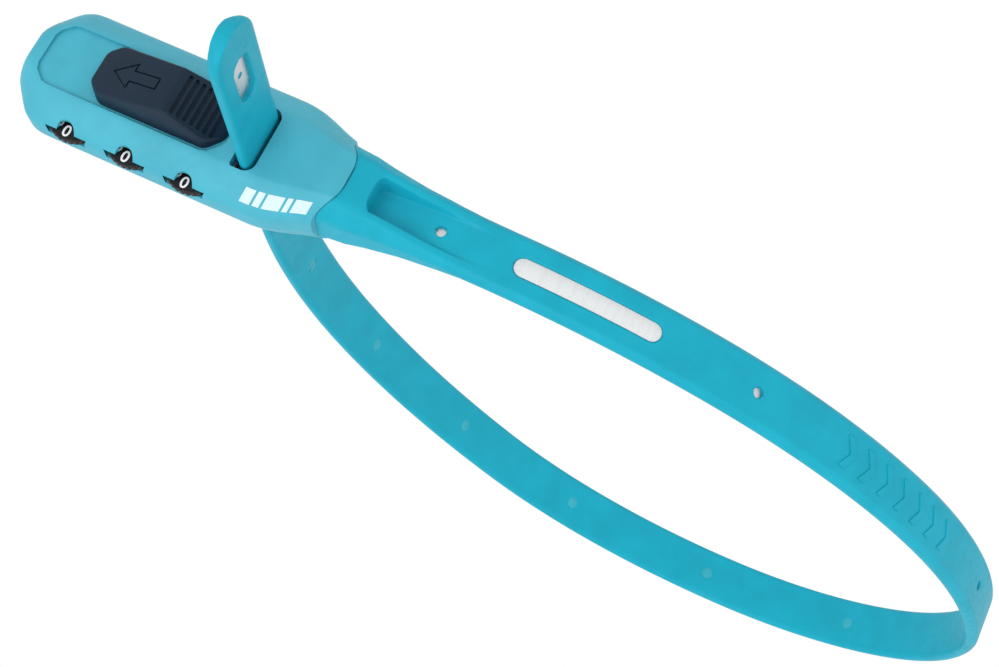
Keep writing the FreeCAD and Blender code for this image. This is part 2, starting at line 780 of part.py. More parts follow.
# ---------------------------------------------------------------------- strap
def arc_band(name, number, extra, width, grow):
    """A curved band of span number, half as thick as extra says."""
    low = doc.addObject("Part::Cylinder", name + "_inner")
    high = doc.addObject("Part::Cylinder", name + "_outer")
    heading = HEADINGS[number]
    hinge = HINGES[number - 1]
    start = math.radians(HEADINGS[number - 1])
    radius = DRIVING["span_%d_radius" % number]
    centre = (hinge[0] + radius * math.sin(start), hinge[1] - radius * math.cos(start))
    trim = math.degrees(grow / radius)
    for item, sign in ((low, "-"), (high, "+")):
        item.setExpression("Radius", "dims.span_%d_radius %s %s" % (number, sign, extra))
        item.setExpression("Height", width)
    high.setExpression("Angle", "dims.span_%d_turn" % number)
    low.Angle = 360
    if trim > 0:
        high.setExpression("Angle", "dims.span_%d_turn - %.4f" % (number, 2 * trim))
    spin = Rotation(Vector(0, 0, 1), heading + 90 + trim)
    level = dim("half_width") - float(high.evalExpression(width)) / 2
    high.Placement = Placement(Vector(centre[0], centre[1], level), spin)
    away = Rotation(Vector(0, 0, 1), heading - 90)
    low.Placement = Placement(Vector(centre[0], centre[1], level), away)
    return minus(name, high, low)


def knuckle(name, number, radius, width):
    """A round bar along the hinge at the given point of the strap."""
    x, y = HINGES[number]
    made = doc.addObject("Part::Cylinder", name)
    made.setExpression("Radius", radius)
    made.setExpression("Height", width)
    level = dim("half_width") - float(made.evalExpression(width)) / 2
    made.Placement = Placement(Vector(x, y, level), Rotation())
    return made


# Moulding holes down to the core: span, distance along it, and face (1 is the outer one).
PEEP_HOLES = (
    (2, 8.7, 1), (3, 27.8, 1), (5, 14.0, -1), (6, 5.2, -1), (6, 39.7, -1), (7, 13.8, -1),
    (7, 47.3, -1), (8, 24.6, -1),
)


def peep_hole(number, distance, side):
    """A short round bar from the core out through one face of a span."""
    radius = DRIVING["span_%d_radius" % number]
    start = math.radians(HEADINGS[number - 1])
    centre_x = HINGES[number - 1][0] + radius * math.sin(start)
    centre_y = HINGES[number - 1][1] - radius * math.cos(start)
    angle = math.radians(HEADINGS[number - 1] + 90) - distance / radius
    out = Vector(math.cos(angle), math.sin(angle), 0)
    point = Vector(centre_x, centre_y, dim("half_width")) + out * radius
    name = "peep_%d_%d" % (number, int(distance))
    return rod(name, "dims.peep_radius", "dims.strap_thick", tuple(point), tuple(out * side))


def make_strip():
    """The reflective strip let into the outer face of the first span."""
    number = 1
    radius = "dims.span_1_radius + dims.strap_thick / 2"
    start = math.radians(HEADINGS[0])
    centre_y = HINGES[0][1] - DRIVING["span_1_radius"] * math.cos(start)
    level = dim("half_width") - dim("strip_width") / 2
    turn = (SPAN_TURNS[0] - dim("strip_turn")) / 2 + dim("strip_shift")
    pieces = []
    for name, extra in (("strip_outer", "0"), ("strip_inner", "-dims.strip_thick")):
        item = doc.addObject("Part::Cylinder", name)
        item.setExpression("Radius", "%s + %s" % (radius, extra))
        item.setExpression("Height", "dims.strip_width")
        item.Placement = Placement(
            Vector(HINGES[0][0], centre_y, level),
            Rotation(Vector(0, 0, 1), HEADINGS[number] + 90 + turn),
        )
        pieces.append(item)
    pieces[0].setExpression("Angle", "dims.strip_turn")
    pieces[1].Placement.Rotation = Rotation(Vector(0, 0, 1), -90)
    return minus("reflective_strip", pieces[0], pieces[1])


def make_span(number):
    """One length of the sheathed strap: plastic sleeve and steel core."""
    label = "sleeve_%d" % number
    band = arc_band(label + "_band", number, "dims.strap_thick / 2", "dims.strap_width", 0)
    end = knuckle(label + "_end", number, "dims.strap_thick / 2", "dims.strap_width")
    solid = joined(label + "_solid", "Part::MultiFuse", [band, end])
    cavity = arc_band(
        label + "_cavity", number, "(dims.core_thick + dims.core_gap) / 2",
        "dims.core_width + 0.2", 0,
    )
    seat = knuckle(
        label + "_seat", number - 1, "dims.strap_thick / 2 + dims.hinge_gap",
        "dims.strap_width + 2",
    )
    tools = [cavity, seat]
    tools += [peep_hole(*hole) for hole in PEEP_HOLES if hole[0] == number]
    if number == 1:
        tools.append(make_strip())
    tool = joined(label + "_tool", "Part::MultiFuse", tools)
    minus(label, solid, tool)
    arc_band("core_%d" % number, number, "dims.core_thick / 2", "dims.core_width", 1.5)


def obround(centre, straight, radius, turns=6):
    """A closed outline along the first axis with round ends."""
    points = []
    for sign in (1, -1):
        for step in range(turns + 1):
            angle = "(%d - 90 + 180 * %d / %d)" % (0 if sign > 0 else 180, step, turns)
            points.append((
                "%s + %d * %s / 2 + %s * cos(%s)" % (centre, sign, straight, radius, angle),
                "%s * sin(%s)" % (radius, angle),
            ))
    return points


def make_tail():
    """The straight end of the strap with its toothed outer face and round tip."""
    body = new_body("sleeve_tail")
    x = "dims.tail_x"
    half = "dims.strap_thick / 2"
    start = "%.4f" % HINGES[-1][1]
    shoulder = "dims.tail_tip - dims.strap_width / 2"
    pad_across(body, "tail_block", "dims.strap_width", [rectangle(
        "%s - %s" % (x, half), "%s + %s" % (x, half), start, shoulder)])
    nose = drawn(body, "tail_nose_sketch", "YZ_Plane", "%s - %s" % (x, half),
                 circles=[((shoulder, "0"), "dims.strap_width / 2")])
    feature(body, "Pad", "tail_nose", nose, "dims.strap_thick")
    seat = [((x, start), "dims.strap_thick / 2 + dims.hinge_gap")]
    cut_across(body, "tail_seat", "dims.strap_width + 2", circles=seat)
    gap = "(dims.core_thick + dims.core_gap) / 2"
    cavity = rectangle("%s - %s" % (x, gap), "%s + %s" % (x, gap), "%s + 1" % start,
                       "dims.tail_tip - 5")
    cut_across(body, "tail_core_slot", "dims.core_width + 0.2", [cavity])
    teeth = []
    for step in range(int(dim("tooth_count"))):
        low = "dims.first_tooth - %d * dims.tooth_pitch" % step
        face = "%s - %s" % (x, half)
        teeth.append([
            (face + " - 0.5", low), (face + " + dims.tooth_depth", low),
            (face, "%s + dims.tooth_pitch * 0.8" % low),
            (face + " - 0.5", "%s + dims.tooth_pitch * 0.8" % low),
        ])
    cut_across(body, "tail_teeth", "dims.tooth_width", teeth)
    window = obround("dims.window_centre", "dims.window_straight", "dims.window_half")
    sketch = drawn(body, "tail_window_sketch", "YZ_Plane", x, [window])
    feature(body, "Pocket", "tail_window", sketch, "5", flip=True)


def make_tail_core():
    body = new_body("core_tail")
    x = "dims.tail_x"
    start = "%.4f" % HINGES[-1][1]
    blade = rectangle("%s - dims.core_thick / 2" % x, "%s + dims.core_thick / 2" % x,
                      "%s + 1.5" % start, "dims.tail_tip - 5.2")
    pad_across(body, "tail_blade", "dims.core_width", [blade])
    sketch = drawn(body, "tail_blade_hole_sketch", "YZ_Plane", x,
                   circles=[(("dims.window_centre + 0.3", "0"), "0.55")])
    feature(body, "Pocket", "tail_blade_hole", sketch, "5", middle=True)


def build():
    make_head_cover()
    make_head_base()
    make_strap_guide()
    make_root_sleeve()
    make_root_core()
    make_anchor_rivets()
    make_base_screws()
    for number in range(3):
        make_wheel(number)
        make_hub(number)
    make_axles()
    make_detent_spring()
    make_slider_button()
    make_slider_carriage()
    make_locking_bar()
    make_springs()
    make_pawl()
    make_pawl_pin()
    make_reset_button()
    for number in range(1, len(LENGTHS) + 1):
        make_span(number)
    make_tail()
    make_tail_core()


NODES = [
    "head_cover", "head_base", "strap_guide", "sleeve_root", "core_root", "anchor_rivets",
    "base_screws", "number_wheel_1", "number_wheel_2", "number_wheel_3", "cam_hub_1",
    "cam_hub_2", "cam_hub_3", "dial_axles", "detent_spring", "slider_button",
    "slider_carriage", "locking_bar", "slider_spring", "reset_spring", "pawl_spring", "pawl",
    "pawl_pin", "reset_button",
]
NODES += ["sleeve_%d" % number for number in range(1, len(LENGTHS) + 1)]
NODES += ["core_%d" % number for number in range(1, len(LENGTHS) + 1)]
NODES += ["sleeve_tail", "core_tail", "reflective_strip"]


def write_nodes():
    """Checks every object and writes one STEP file for each node."""
    doc.recompute()
    for item in doc.Objects:
        if "Invalid" in item.State or "Error" in item.State:
            raise RuntimeError("%s is %s" % (item.Label, item.State))
    os.makedirs("parts", exist_ok=True)
    for label in NODES:
        item = doc.getObjectsByLabel(label)[0]
        if not item.Shape.isValid() or not item.Shape.Solids:
            raise RuntimeError("%s is not a valid solid" % label)
        print(label, len(item.Shape.Solids), round(item.Shape.Volume, 2))
        item.Shape.exportStep("parts/%s.step" % label)


build()
write_nodes()
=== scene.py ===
"""Looks for the strap lock: strap, head shells, slider, digits, print and materials.

Lengths are written in millimetres and scaled by MM. The strap is one long grid of cross
sections that follows the record's hinge points, cut into a piece for each hinge. On the strap,
a station is the distance along its centre line from the first hinge, across is the distance
from its middle towards the number wheels, and height is measured out of the loop.
"""

import json
import math

import bmesh
import bpy
import numpy as np
from mathutils import Matrix, Vector


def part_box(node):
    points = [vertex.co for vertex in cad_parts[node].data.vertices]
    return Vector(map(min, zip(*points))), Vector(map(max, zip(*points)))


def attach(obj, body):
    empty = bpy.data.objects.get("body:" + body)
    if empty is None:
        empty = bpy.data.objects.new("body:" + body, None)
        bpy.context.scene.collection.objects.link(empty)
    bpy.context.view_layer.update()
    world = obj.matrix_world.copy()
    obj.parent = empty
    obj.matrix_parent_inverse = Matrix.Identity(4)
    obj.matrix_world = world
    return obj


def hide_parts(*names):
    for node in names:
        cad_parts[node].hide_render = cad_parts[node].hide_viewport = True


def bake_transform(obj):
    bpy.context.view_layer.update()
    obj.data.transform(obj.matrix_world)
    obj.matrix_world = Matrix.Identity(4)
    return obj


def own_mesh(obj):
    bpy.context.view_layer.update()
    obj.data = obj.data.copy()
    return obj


MM = 0.001
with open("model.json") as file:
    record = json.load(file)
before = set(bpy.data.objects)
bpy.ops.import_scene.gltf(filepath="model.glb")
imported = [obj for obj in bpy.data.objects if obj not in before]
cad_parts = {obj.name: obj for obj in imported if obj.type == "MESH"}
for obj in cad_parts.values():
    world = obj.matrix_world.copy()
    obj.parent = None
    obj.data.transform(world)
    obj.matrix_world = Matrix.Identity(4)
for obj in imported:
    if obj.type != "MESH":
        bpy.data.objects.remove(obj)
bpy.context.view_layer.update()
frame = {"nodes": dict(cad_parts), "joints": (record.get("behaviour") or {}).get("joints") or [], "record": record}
JOINTS = {joint["name"]: joint for joint in frame["joints"]}
MID_LEVEL = JOINTS["strap_flex_1"]["pos_m"][2] / MM


# ------------------------------------------------------------------ materials
def new_material(name):
    material = bpy.data.materials.new(name)
    material.use_nodes = True
    nodes = material.node_tree.nodes
    return material, nodes, material.node_tree.links, nodes["Principled BSDF"]


def noise(nodes, links, coordinate, scale, detail=2.0, stretch=(1, 1, 1)):
    mapping = nodes.new("ShaderNodeMapping")
    mapping.inputs["Scale"].default_value = stretch
    links.new(coordinate, mapping.inputs["Vector"])
    texture = nodes.new("ShaderNodeTexNoise")
    texture.inputs["Scale"].default_value = scale
    texture.inputs["Detail"].default_value = detail
    links.new(mapping.outputs["Vector"], texture.inputs["Vector"])
    return texture.outputs["Fac"]


def ramp(nodes, links, value, low, high, low_at=0.35, high_at=0.65):
    made = nodes.new("ShaderNodeValToRGB")
    made.color_ramp.elements[0].position = low_at
    made.color_ramp.elements[0].color = (*low, 1)
    made.color_ramp.elements[1].position = high_at
    made.color_ramp.elements[1].color = (*high, 1)
    links.new(value, made.inputs["Fac"])
    return made.outputs["Color"]


def grey(level):
    return (level, level, level)


def bumped(nodes, links, shader, height, strength, distance):
    bump = nodes.new("ShaderNodeBump")
    bump.inputs["Strength"].default_value = strength
    bump.inputs["Distance"].default_value = distance * MM
    links.new(height, bump.inputs["Height"])
    links.new(bump.outputs["Normal"], shader.inputs["Normal"])


# Scales of the noise in the materials: larger numbers give finer detail.
PATCH_SCALE = 160
GLOSS_SCALE = 900
GRAIN_SCALE = 4200
STREAK_SCALE = 1500
CELL_SCALE = 3600
FILM_GLOSS_SCALE = 1200
INK_SCALE = 3000


def moulded(name, colour, roughness, grain=0.35, spread=0.05, shine=0.3):
    """Moulded plastic with a fine eroded grain and slightly uneven colour and gloss."""
    material, nodes, links, shader = new_material(name)
    place = nodes.new("ShaderNodeTexCoord").outputs["Object"]
    dark = tuple(channel * (1 - spread) for channel in colour)
    light = tuple(min(1, channel * (1 + spread)) for channel in colour)
    patches = noise(nodes, links, place, PATCH_SCALE, 3)
    links.new(ramp(nodes, links, patches, dark, light), shader.inputs["Base Color"])
    gloss = noise(nodes, links, place, GLOSS_SCALE, 3)
    links.new(
        ramp(nodes, links, gloss, grey(roughness - 0.05), grey(roughness + 0.06)),
        shader.inputs["Roughness"],
    )
    fine = noise(nodes, links, place, GRAIN_SCALE, 2)
    bumped(nodes, links, shader, fine, grain, 0.06)
    shader.inputs["Specular IOR Level"].default_value = shine
    return material


def metal(name, colour, roughness, stretch=(1, 1, 1)):
    """Metal with fine machining streaks and patchy gloss."""
    material, nodes, links, shader = new_material(name)
    place = nodes.new("ShaderNodeTexCoord").outputs["Object"]
    shader.inputs["Metallic"].default_value = 1.0
    dark = tuple(channel * 0.82 for channel in colour)
    streaks = noise(nodes, links, place, STREAK_SCALE, 4, stretch)
    links.new(ramp(nodes, links, streaks, dark, colour), shader.inputs["Base Color"])
    links.new(
        ramp(nodes, links, streaks, grey(roughness - 0.08), grey(roughness + 0.1)),
        shader.inputs["Roughness"],
    )
    bumped(nodes, links, shader, streaks, 0.25, 0.02)
    return material


def reflective(name):
    """Silver film with a honeycomb of small cells."""
    material, nodes, links, shader = new_material(name)
    place = nodes.new("ShaderNodeTexCoord").outputs["Object"]
    cells = nodes.new("ShaderNodeTexVoronoi")
    cells.feature = "DISTANCE_TO_EDGE"
    cells.inputs["Scale"].default_value = CELL_SCALE
    cells.inputs["Randomness"].default_value = 0.25
    links.new(place, cells.inputs["Vector"])
    wall, face = (0.60, 0.62, 0.625), (0.66, 0.68, 0.685)
    walls = ramp(nodes, links, cells.outputs["Distance"], wall, face, 0.02, 0.12)
    links.new(walls, shader.inputs["Base Color"])
    shader.inputs["Metallic"].default_value = 0.1
    gloss = noise(nodes, links, place, FILM_GLOSS_SCALE, 3)
    links.new(ramp(nodes, links, gloss, grey(0.25), grey(0.42)), shader.inputs["Roughness"])
    shader.inputs["Coat Weight"].default_value = 0.25
    shader.inputs["Coat Roughness"].default_value = 0.2
    bumped(nodes, links, shader, cells.outputs["Distance"], 0.15, 0.02)
    return material


def ink(name, colour):
    """Slightly uneven printed ink."""
    material, nodes, links, shader = new_material(name)
    place = nodes.new("ShaderNodeTexCoord").outputs["Object"]
    speckle = noise(nodes, links, place, INK_SCALE, 4)
    worn = tuple(channel * 0.9 for channel in colour)
    links.new(ramp(nodes, links, speckle, worn, colour), shader.inputs["Base Color"])
    links.new(ramp(nodes, links, speckle, grey(0.45), grey(0.6)), shader.inputs["Roughness"])
    bumped(nodes, links, shader, speckle, 0.2, 0.02)
    return material


MATERIALS = {
    "head_plastic": moulded("head_plastic", (0.050, 0.368, 0.478), 0.5),
    "strap_plastic": moulded("strap_plastic", (0.007, 0.335, 0.455), 0.46, shine=0.13),
    "slider_plastic": moulded("slider_plastic", (0.008, 0.020, 0.038), 0.36, 0.5, shine=0.16),
    "wheel_black": moulded("wheel_black", (0.004, 0.005, 0.007), 0.4, shine=0.25),
    "brass": metal("brass", (0.78, 0.60, 0.30), 0.32),
    "steel": metal("steel", (0.70, 0.71, 0.73), 0.34, (1, 1, 8)),
    "reflector": reflective("reflector"),
}
PALE_PLASTIC = moulded("pale_plastic", (0.030, 0.355, 0.450), 0.5)
DIGIT_WHITE = ink("digit_white", (0.86, 0.87, 0.88))
PRINT_WHITE = ink("print_white", (0.58, 0.74, 0.78))


def dress_cad():
    """Gives every CAD node the material of its slot."""
    slots = {part["node"]: part["material_slot"] for part in frame["record"]["subparts"]}
    for name, node in frame["nodes"].items():
        material = MATERIALS[slots[name]]
        for index in range(len(node.material_slots)):
            node.material_slots[index].material = material


# ---------------------------------------------------------------- strap's line
HINGES = [
    np.array(JOINTS["strap_flex_%d" % number]["pos_m"][:2]) / MM for number in range(1, 10)
]
TAIL_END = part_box("sleeve_tail")[1].y / MM


def measured_spans():
    """Each span's (start heading, turn, length): arcs that run on from one another."""
    spans = []
    heading = 0.0
    for first, last in zip(HINGES, HINGES[1:]):
        chord = last - first
        course = math.atan2(chord[1], chord[0])
        while course > heading:
            course -= 2 * math.pi
        turn = 2 * (heading - course)
        length = np.linalg.norm(chord) * (turn / 2) / math.sin(turn / 2)
        spans.append((heading, turn, length))
        heading -= turn
    return spans


SPANS = measured_spans()
STATIONS = np.concatenate([[0.0], np.cumsum([span[2] for span in SPANS])])
STRAP_END = STATIONS[-1] + TAIL_END - HINGES[-1][1]


def centre_line(station):
    """The point and heading of the strap's centre line, measured from the first hinge."""
    if station <= 0:
        return HINGES[0] + np.array([station, 0.0]), 0.0
    for index, (heading, turn, length) in enumerate(SPANS):
        if station <= STATIONS[index + 1]:
            radius = length / turn
            end = heading - (station - STATIONS[index]) / radius
            step = np.array([
                radius * (math.sin(heading) - math.sin(end)),
                radius * (math.cos(end) - math.cos(heading)),
            ])
            return HINGES[index] + step, end
    heading = SPANS[-1][0] - SPANS[-1][1]
    ahead = np.array([math.cos(heading), math.sin(heading)])
    return HINGES[-1] + ahead * (station - STATIONS[-1]), heading


def on_strap(station, height, across):
    """A point of the row frame, in metres, at the given place on the strap."""
    point, heading = centre_line(station)
    out = np.array([-math.sin(heading), math.cos(heading)])
    x, y = point + out * height
    return Vector((x, y, MID_LEVEL + across)) * MM


# ------------------------------------------------------------- strap's section
HALF_WIDTH = 5.15
HALF_THICK = 1.15
FREE_X = HINGES[0][0]

# The joint line between head and strap: its X at the sides, how far its middle bulges.
SEAM_X = 10.4
SEAM_BULGE = 2.95
SEAM_SPREAD = 5.6
SEAM_GAP = 0.12


def seam_x(across):
    """The X of the joint line between head and strap."""
    return SEAM_X + SEAM_BULGE * math.exp(-((across / SEAM_SPREAD) ** 4))


def eased(value, low, high):
    t = min(1.0, max(0.0, (value - low) / (high - low)))
    return t * t * (3 - 2 * t)


def blend_values(x, knots):
    """Values between (x, value) knots, joined by straight lines."""
    return float(np.interp(x, [knot[0] for knot in knots], [knot[1] for knot in knots]))


# Knots of the strap root, (x, value): half width, top level and bottom level.
ROOT_WIDE = [
    (6, 9.1), (11, 7.55), (14, 6.7), (18, 6.15), (24, 5.55), (30, 5.25), (FREE_X, HALF_WIDTH),
]
ROOT_TOP = [
    (11, 6.4), (14, 5.85), (18, 4.75), (24, 3.15), (30, 1.95), (FREE_X, 1.45), (38.5, HALF_THICK),
]
ROOT_LOW = [(11, -5.6), (14, -5.0), (18, -4.0), (24, -2.6), (30, -1.6), (FREE_X, -HALF_THICK)]

# The slanted edge on the strap, and the wider one at the root: its inset and its drop.
EDGE = 0.95
ROOT_INSET = 2.3
ROOT_DROP = 2.8
ROOT_BLEND = (12, 32)
ROUNDING = 0.6
ROOT_ROUNDING = 0.6


def section_corners(station):
    """Half section at a station: top corner, upper and lower side corners, bottom corner."""
    x = station + FREE_X
    wide = blend_values(x, ROOT_WIDE)
    top = blend_values(x, ROOT_TOP)
    low = blend_values(x, ROOT_LOW)
    share = eased(x, *ROOT_BLEND)
    inset = (1 - share) * ROOT_INSET + share * EDGE
    drop = (1 - share) * ROOT_DROP + share * EDGE
    return [
        (wide - inset, top),
        (wide, max(top - drop, low + drop * 0.45)),
        (wide, low + drop * 0.4),
        (wide - inset * 0.8, low),
    ]


# The most of a side that a rounded corner takes up.
CORNER_SHARE = 0.45


def rounded(points, radius, steps=4):
    """The inner corners of an open line of points, each turned into a short curve."""
    line = [np.array(points[0], float)]
    for before, corner, after in zip(points, points[1:], points[2:]):
        before, corner, after = (np.array(item, float) for item in (before, corner, after))
        lengths = [np.linalg.norm(other - corner) for other in (before, after)]
        back = (before - corner) / max(1e-6, lengths[0])
        ahead = (after - corner) / max(1e-6, lengths[1])
        reach = min(radius, lengths[0] * CORNER_SHARE, lengths[1] * CORNER_SHARE)
        start, end = corner + back * reach, corner + ahead * reach
        for step in range(steps + 1):
            t = step / steps
            line.append((1 - t) ** 2 * start + 2 * t * (1 - t) * corner + t * t * end)
    line.append(np.array(points[-1], float))
    return line


# ------------------------------------------------------- channels in the faces
WALL = 0.16
NARROWEST = 0.06
CORE_DEPTH = HALF_THICK - 0.3


class Channel:
    """A row of sunk shapes along the middle of one face: half width and depth by station."""

    def __init__(self, rest_half, spread=4.0):
        self.rest_half = rest_half
        self.spread = spread
        self.shapes = []

    def obround(self, start, end, half, depth, bowl=False, steps=7):
        """Adds a sunk slot with round ends, and returns the stations that it needs."""
        needed = [start - WALL, start]
        for step in range(1, steps + 1):
            needed.append(start + half * (1 - math.cos(step / steps * math.pi / 2)))
        mirrored = [start + end - station for station in reversed(needed)]
        if end - start > 2 * half + 0.1:
            count = 2 + int((end - start) / 2.5)
            needed += list(np.linspace(start + half, end - half, count))[1:-1]
        else:
            needed = needed[:-1]
        self.shapes.append((start, end, half, depth, bowl))
        return needed + mirrored

    def at(self, station):
        """The half width and depth here, and whether the shape is a bowl."""
        for start, end, half, depth, bowl in self.shapes:
            if start - 1e-6 <= station <= end + 1e-6:
                reach = min(station - start, end - station)
                if reach >= half:
                    return half, depth, bowl
                width = math.sqrt(max(0.0, half * half - (half - reach) ** 2))
                if bowl:
                    depth *= 1 - (1 - reach / half) ** 2
                return max(NARROWEST, width), depth, bowl
        ends = [end for shape in self.shapes for end in shape[:2]]
        gap = min(abs(station - end) for end in ends)
        share = eased(gap, WALL, self.spread)
        return NARROWEST + (self.rest_half - NARROWEST) * share, 0.0, False


# Stations of the moulding holes in the outer face and the dimples in the inner face.
HOLES = (-5.5, 48.2, 114.3)
HOLE_RADIUS = 0.8
DIMPLES = (183.0, 216.7, 251.2, 285.5, 319.0, 350.3)
DIMPLE_RADIUS = 1.3
DIMPLE_DEPTH = 0.2

# The reflective strip's pocket and the window near the tip that shows the steel.
STRIP = (6.5, 31.1)
STRIP_HALF = 1.65
STRIP_DEPTH = 0.3
WINDOW = (STRAP_END - 16.6, STRAP_END - 6.6)
WINDOW_HALF = 1.85

# The pocket that narrows the root down to the strap, with a rounded end by the head.
POCKET_START = -16.9
POCKET_END = 3.0
POCKET_RUN_OUT = 2.0
POCKET_HALF = 3.35
POCKET_WIDENING = 0.9
POCKET_CORNER = 2.8
POCKET_ROUND = 2.5
POCKET_WALL = 0.6
POCKET_WALL_STEPS = (0.12, 0.25, 0.38, 0.5, 0.6, 0.7, 0.9, 1.2, 1.6, 2.0, 2.4)
POCKET_FLOOR = HALF_THICK + 0.05

# The ratchet's teeth on the tail.
TEETH_END = STRAP_END - 9.2
TOOTH_PITCH = 2.2
TOOTH_COUNT = 17
TOOTH_DEPTH = 0.45
TOOTH_HALF = 2.6
TOOTH_SLOPE = 0.8
TEETH_START = TEETH_END - TOOTH_PITCH * TOOTH_COUNT

# Half width of the flat middle between the root's part of the strap and the teeth.
PLAIN_HALF = 3.6
PLAIN_START = 60
TEETH_APPROACH = 8

OUTER = Channel(0.5)
INNER = Channel(0.5)


def pocket_half(station):
    """Half width of the wide channel: the root's pocket, then the toothed track of the tail."""
    if station < PLAIN_START:
        straight = POCKET_HALF + POCKET_WIDENING * eased(station, POCKET_START, POCKET_END)
        corner = min(1.0, max(0.0, (station - POCKET_START) / POCKET_CORNER))
        return straight - POCKET_ROUND * (1 - math.sqrt(corner * (2 - corner)))
    if station > TEETH_START - TEETH_APPROACH:
        return TOOTH_HALF
    return PLAIN_HALF


def pocket_depth(station, top):
    if POCKET_START <= station <= POCKET_END + POCKET_RUN_OUT:
        share = eased(station, POCKET_START, POCKET_START + POCKET_WALL)
        return max(0.0, top - POCKET_FLOOR) * share
    if TEETH_START <= station <= TEETH_END:
        share = ((station - TEETH_START) / TOOTH_PITCH) % 1.0
        return TOOTH_DEPTH * max(0.0, 1 - share / TOOTH_SLOPE)
    return 0.0


# ------------------------------------------------------------ rows of the grid
SEAM_STATION = SEAM_X + SEAM_BULGE + SEAM_GAP - FREE_X
WARP_STATION = 15.0 - FREE_X
WARP_ROWS = 5
ROW_PITCH = 1.25
ROW_GAP = 0.015
TIP_ROWS = (6.0, 5.0, 4.0, 3.2, 2.4, 1.8, 1.2, 0.7, 0.4, 0.2, 0.08, 0.0)

# Where the strap is cut into pieces: half way between hinges, but past the reflective strip.
CUTS = [(first + last) / 2 for first, last in zip(STATIONS, STATIONS[1:])]
CUTS[0] = STRIP[1] + 1.3


def sunk_stations():
    """Sinks the holes, dimples, strip and window, and returns the stations that they need."""
    needed = []
    for place in HOLES:
        start, end = place - HOLE_RADIUS, place + HOLE_RADIUS
        needed += OUTER.obround(start, end, HOLE_RADIUS, CORE_DEPTH)
    for place in DIMPLES:
        start, end = place - DIMPLE_RADIUS, place + DIMPLE_RADIUS
        needed += INNER.obround(start, end, DIMPLE_RADIUS, DIMPLE_DEPTH, bowl=True)
    needed += OUTER.obround(*STRIP, STRIP_HALF, STRIP_DEPTH)
    needed += INNER.obround(*WINDOW, WINDOW_HALF, CORE_DEPTH)
    return needed


def grid_stations():
    """The stations of all rows of the grid, sorted and without near repeats."""
    needed = sunk_stations() + CUTS
    needed += [POCKET_START - 0.5, POCKET_START - 0.2, POCKET_START]
    needed += [POCKET_START + step for step in POCKET_WALL_STEPS]
    for number in range(TOOTH_COUNT):
        low = TEETH_START + number * TOOTH_PITCH
        needed += [low - 0.02, low, low + TOOTH_SLOPE * TOOTH_PITCH]
    needed.append(TEETH_END)
    needed += list(np.arange(WARP_STATION, STRAP_END, ROW_PITCH))
    needed += [STRAP_END - step for step in TIP_ROWS]
    needed += list(np.linspace(SEAM_STATION, WARP_STATION, WARP_ROWS)[:-1])
    kept = []
    for station in sorted(needed):
        if not kept or station - kept[-1] > ROW_GAP:
            kept.append(station)
    kept = [station for station in kept if station >= SEAM_STATION - 1e-6]
    kept[-1] = STRAP_END
    return kept


ROWS = grid_stations()


# The least share of its width that the tip draws in to.
TIP_LEAST = 0.12


def tail_shape(station):
    """How far the sides draw in towards the round tip."""
    left = STRAP_END - station
    if left >= HALF_WIDTH:
        return 1.0
    return max(TIP_LEAST, math.sqrt(max(0.0, 1 - (1 - left / HALF_WIDTH) ** 2)))


# Shares of the way up the wide channel's wall, and how wide that wall is.
WALL_STEPS = (0.0, 0.18, 0.4, 0.6, 0.82, 1.0)
WIDE_WALL = 0.75


def face_columns(top, narrow, wide):
    """Heights across half a face from its middle out: inner channel, wide channel, rim."""
    half, depth, bowl = narrow
    wide_half, wide_depth = wide
    floor = top - wide_depth
    near, rim = (depth * 0.8, depth * 0.25) if bowl else (depth, depth)
    outside = half + WALL * 2
    columns = [
        (0.0, floor - depth),
        (half * 0.55, floor - near),
        (half, floor - rim),
        (half + WALL * 0.35, floor - rim * 0.3),
        (half + WALL, floor - rim * 0.03),
        (outside, floor),
    ]
    start = max(outside + 0.2, wide_half - 0.3)
    columns.append(((outside + start) / 2, floor))
    for share in WALL_STEPS:
        rise = wide_depth * eased(share, 0, 1)
        columns.append((start + WIDE_WALL * share, floor + rise))
    return columns


# The least width kept between the channels and the corner of the section.
SIDE_SPARE = 0.35
CHANNEL_SPARE = 1.1


def ring(station):
    """The closed section at a station as (across, height) pairs."""
    shrink = tail_shape(station)
    corners = [(width * shrink, height) for width, height in section_corners(station)]
    radius = ROUNDING + ROOT_ROUNDING * (1 - eased(station + FREE_X, 12, 30))
    top_half, top = corners[0]
    bottom_half, bottom = corners[3]
    limit = top_half - SIDE_SPARE
    outer = OUTER.at(station)
    inner = INNER.at(station)
    wide = (min(pocket_half(station), limit - CHANNEL_SPARE), pocket_depth(station, top))
    upper = face_columns(top, (min(outer[0], limit * 0.5), *outer[1:]), wide)
    scale = min(1.0, limit / upper[-1][0])
    upper = [(across * scale, height) for across, height in upper]
    lower = face_columns(-bottom, (min(inner[0], limit * 0.5), *inner[1:]), (limit * 0.8, 0.0))
    scale = min(1.0, (bottom_half - SIDE_SPARE) / lower[-1][0])
    lower = [(across * scale, -height) for across, height in lower]
    side = rounded([upper[-1], *corners, lower[-1]], radius)
    half = upper + side[1:-1] + lower[::-1]
    other = [(-across, height) for across, height in half[-2:0:-1]]
    return half + other


def build_grid():
    """All rings as one array of points in metres: rows along the strap, columns round it."""
    rows = []
    for station in ROWS:
        row = []
        for across, height in ring(station):
            at = station
            if station < WARP_STATION:
                share = (station - SEAM_STATION) / (WARP_STATION - SEAM_STATION)
                start = seam_x(across) + SEAM_GAP - FREE_X
                at = start + (WARP_STATION - start) * share
            row.append(on_strap(at, height, across))
        rows.append(row)
    return np.array(rows, float)


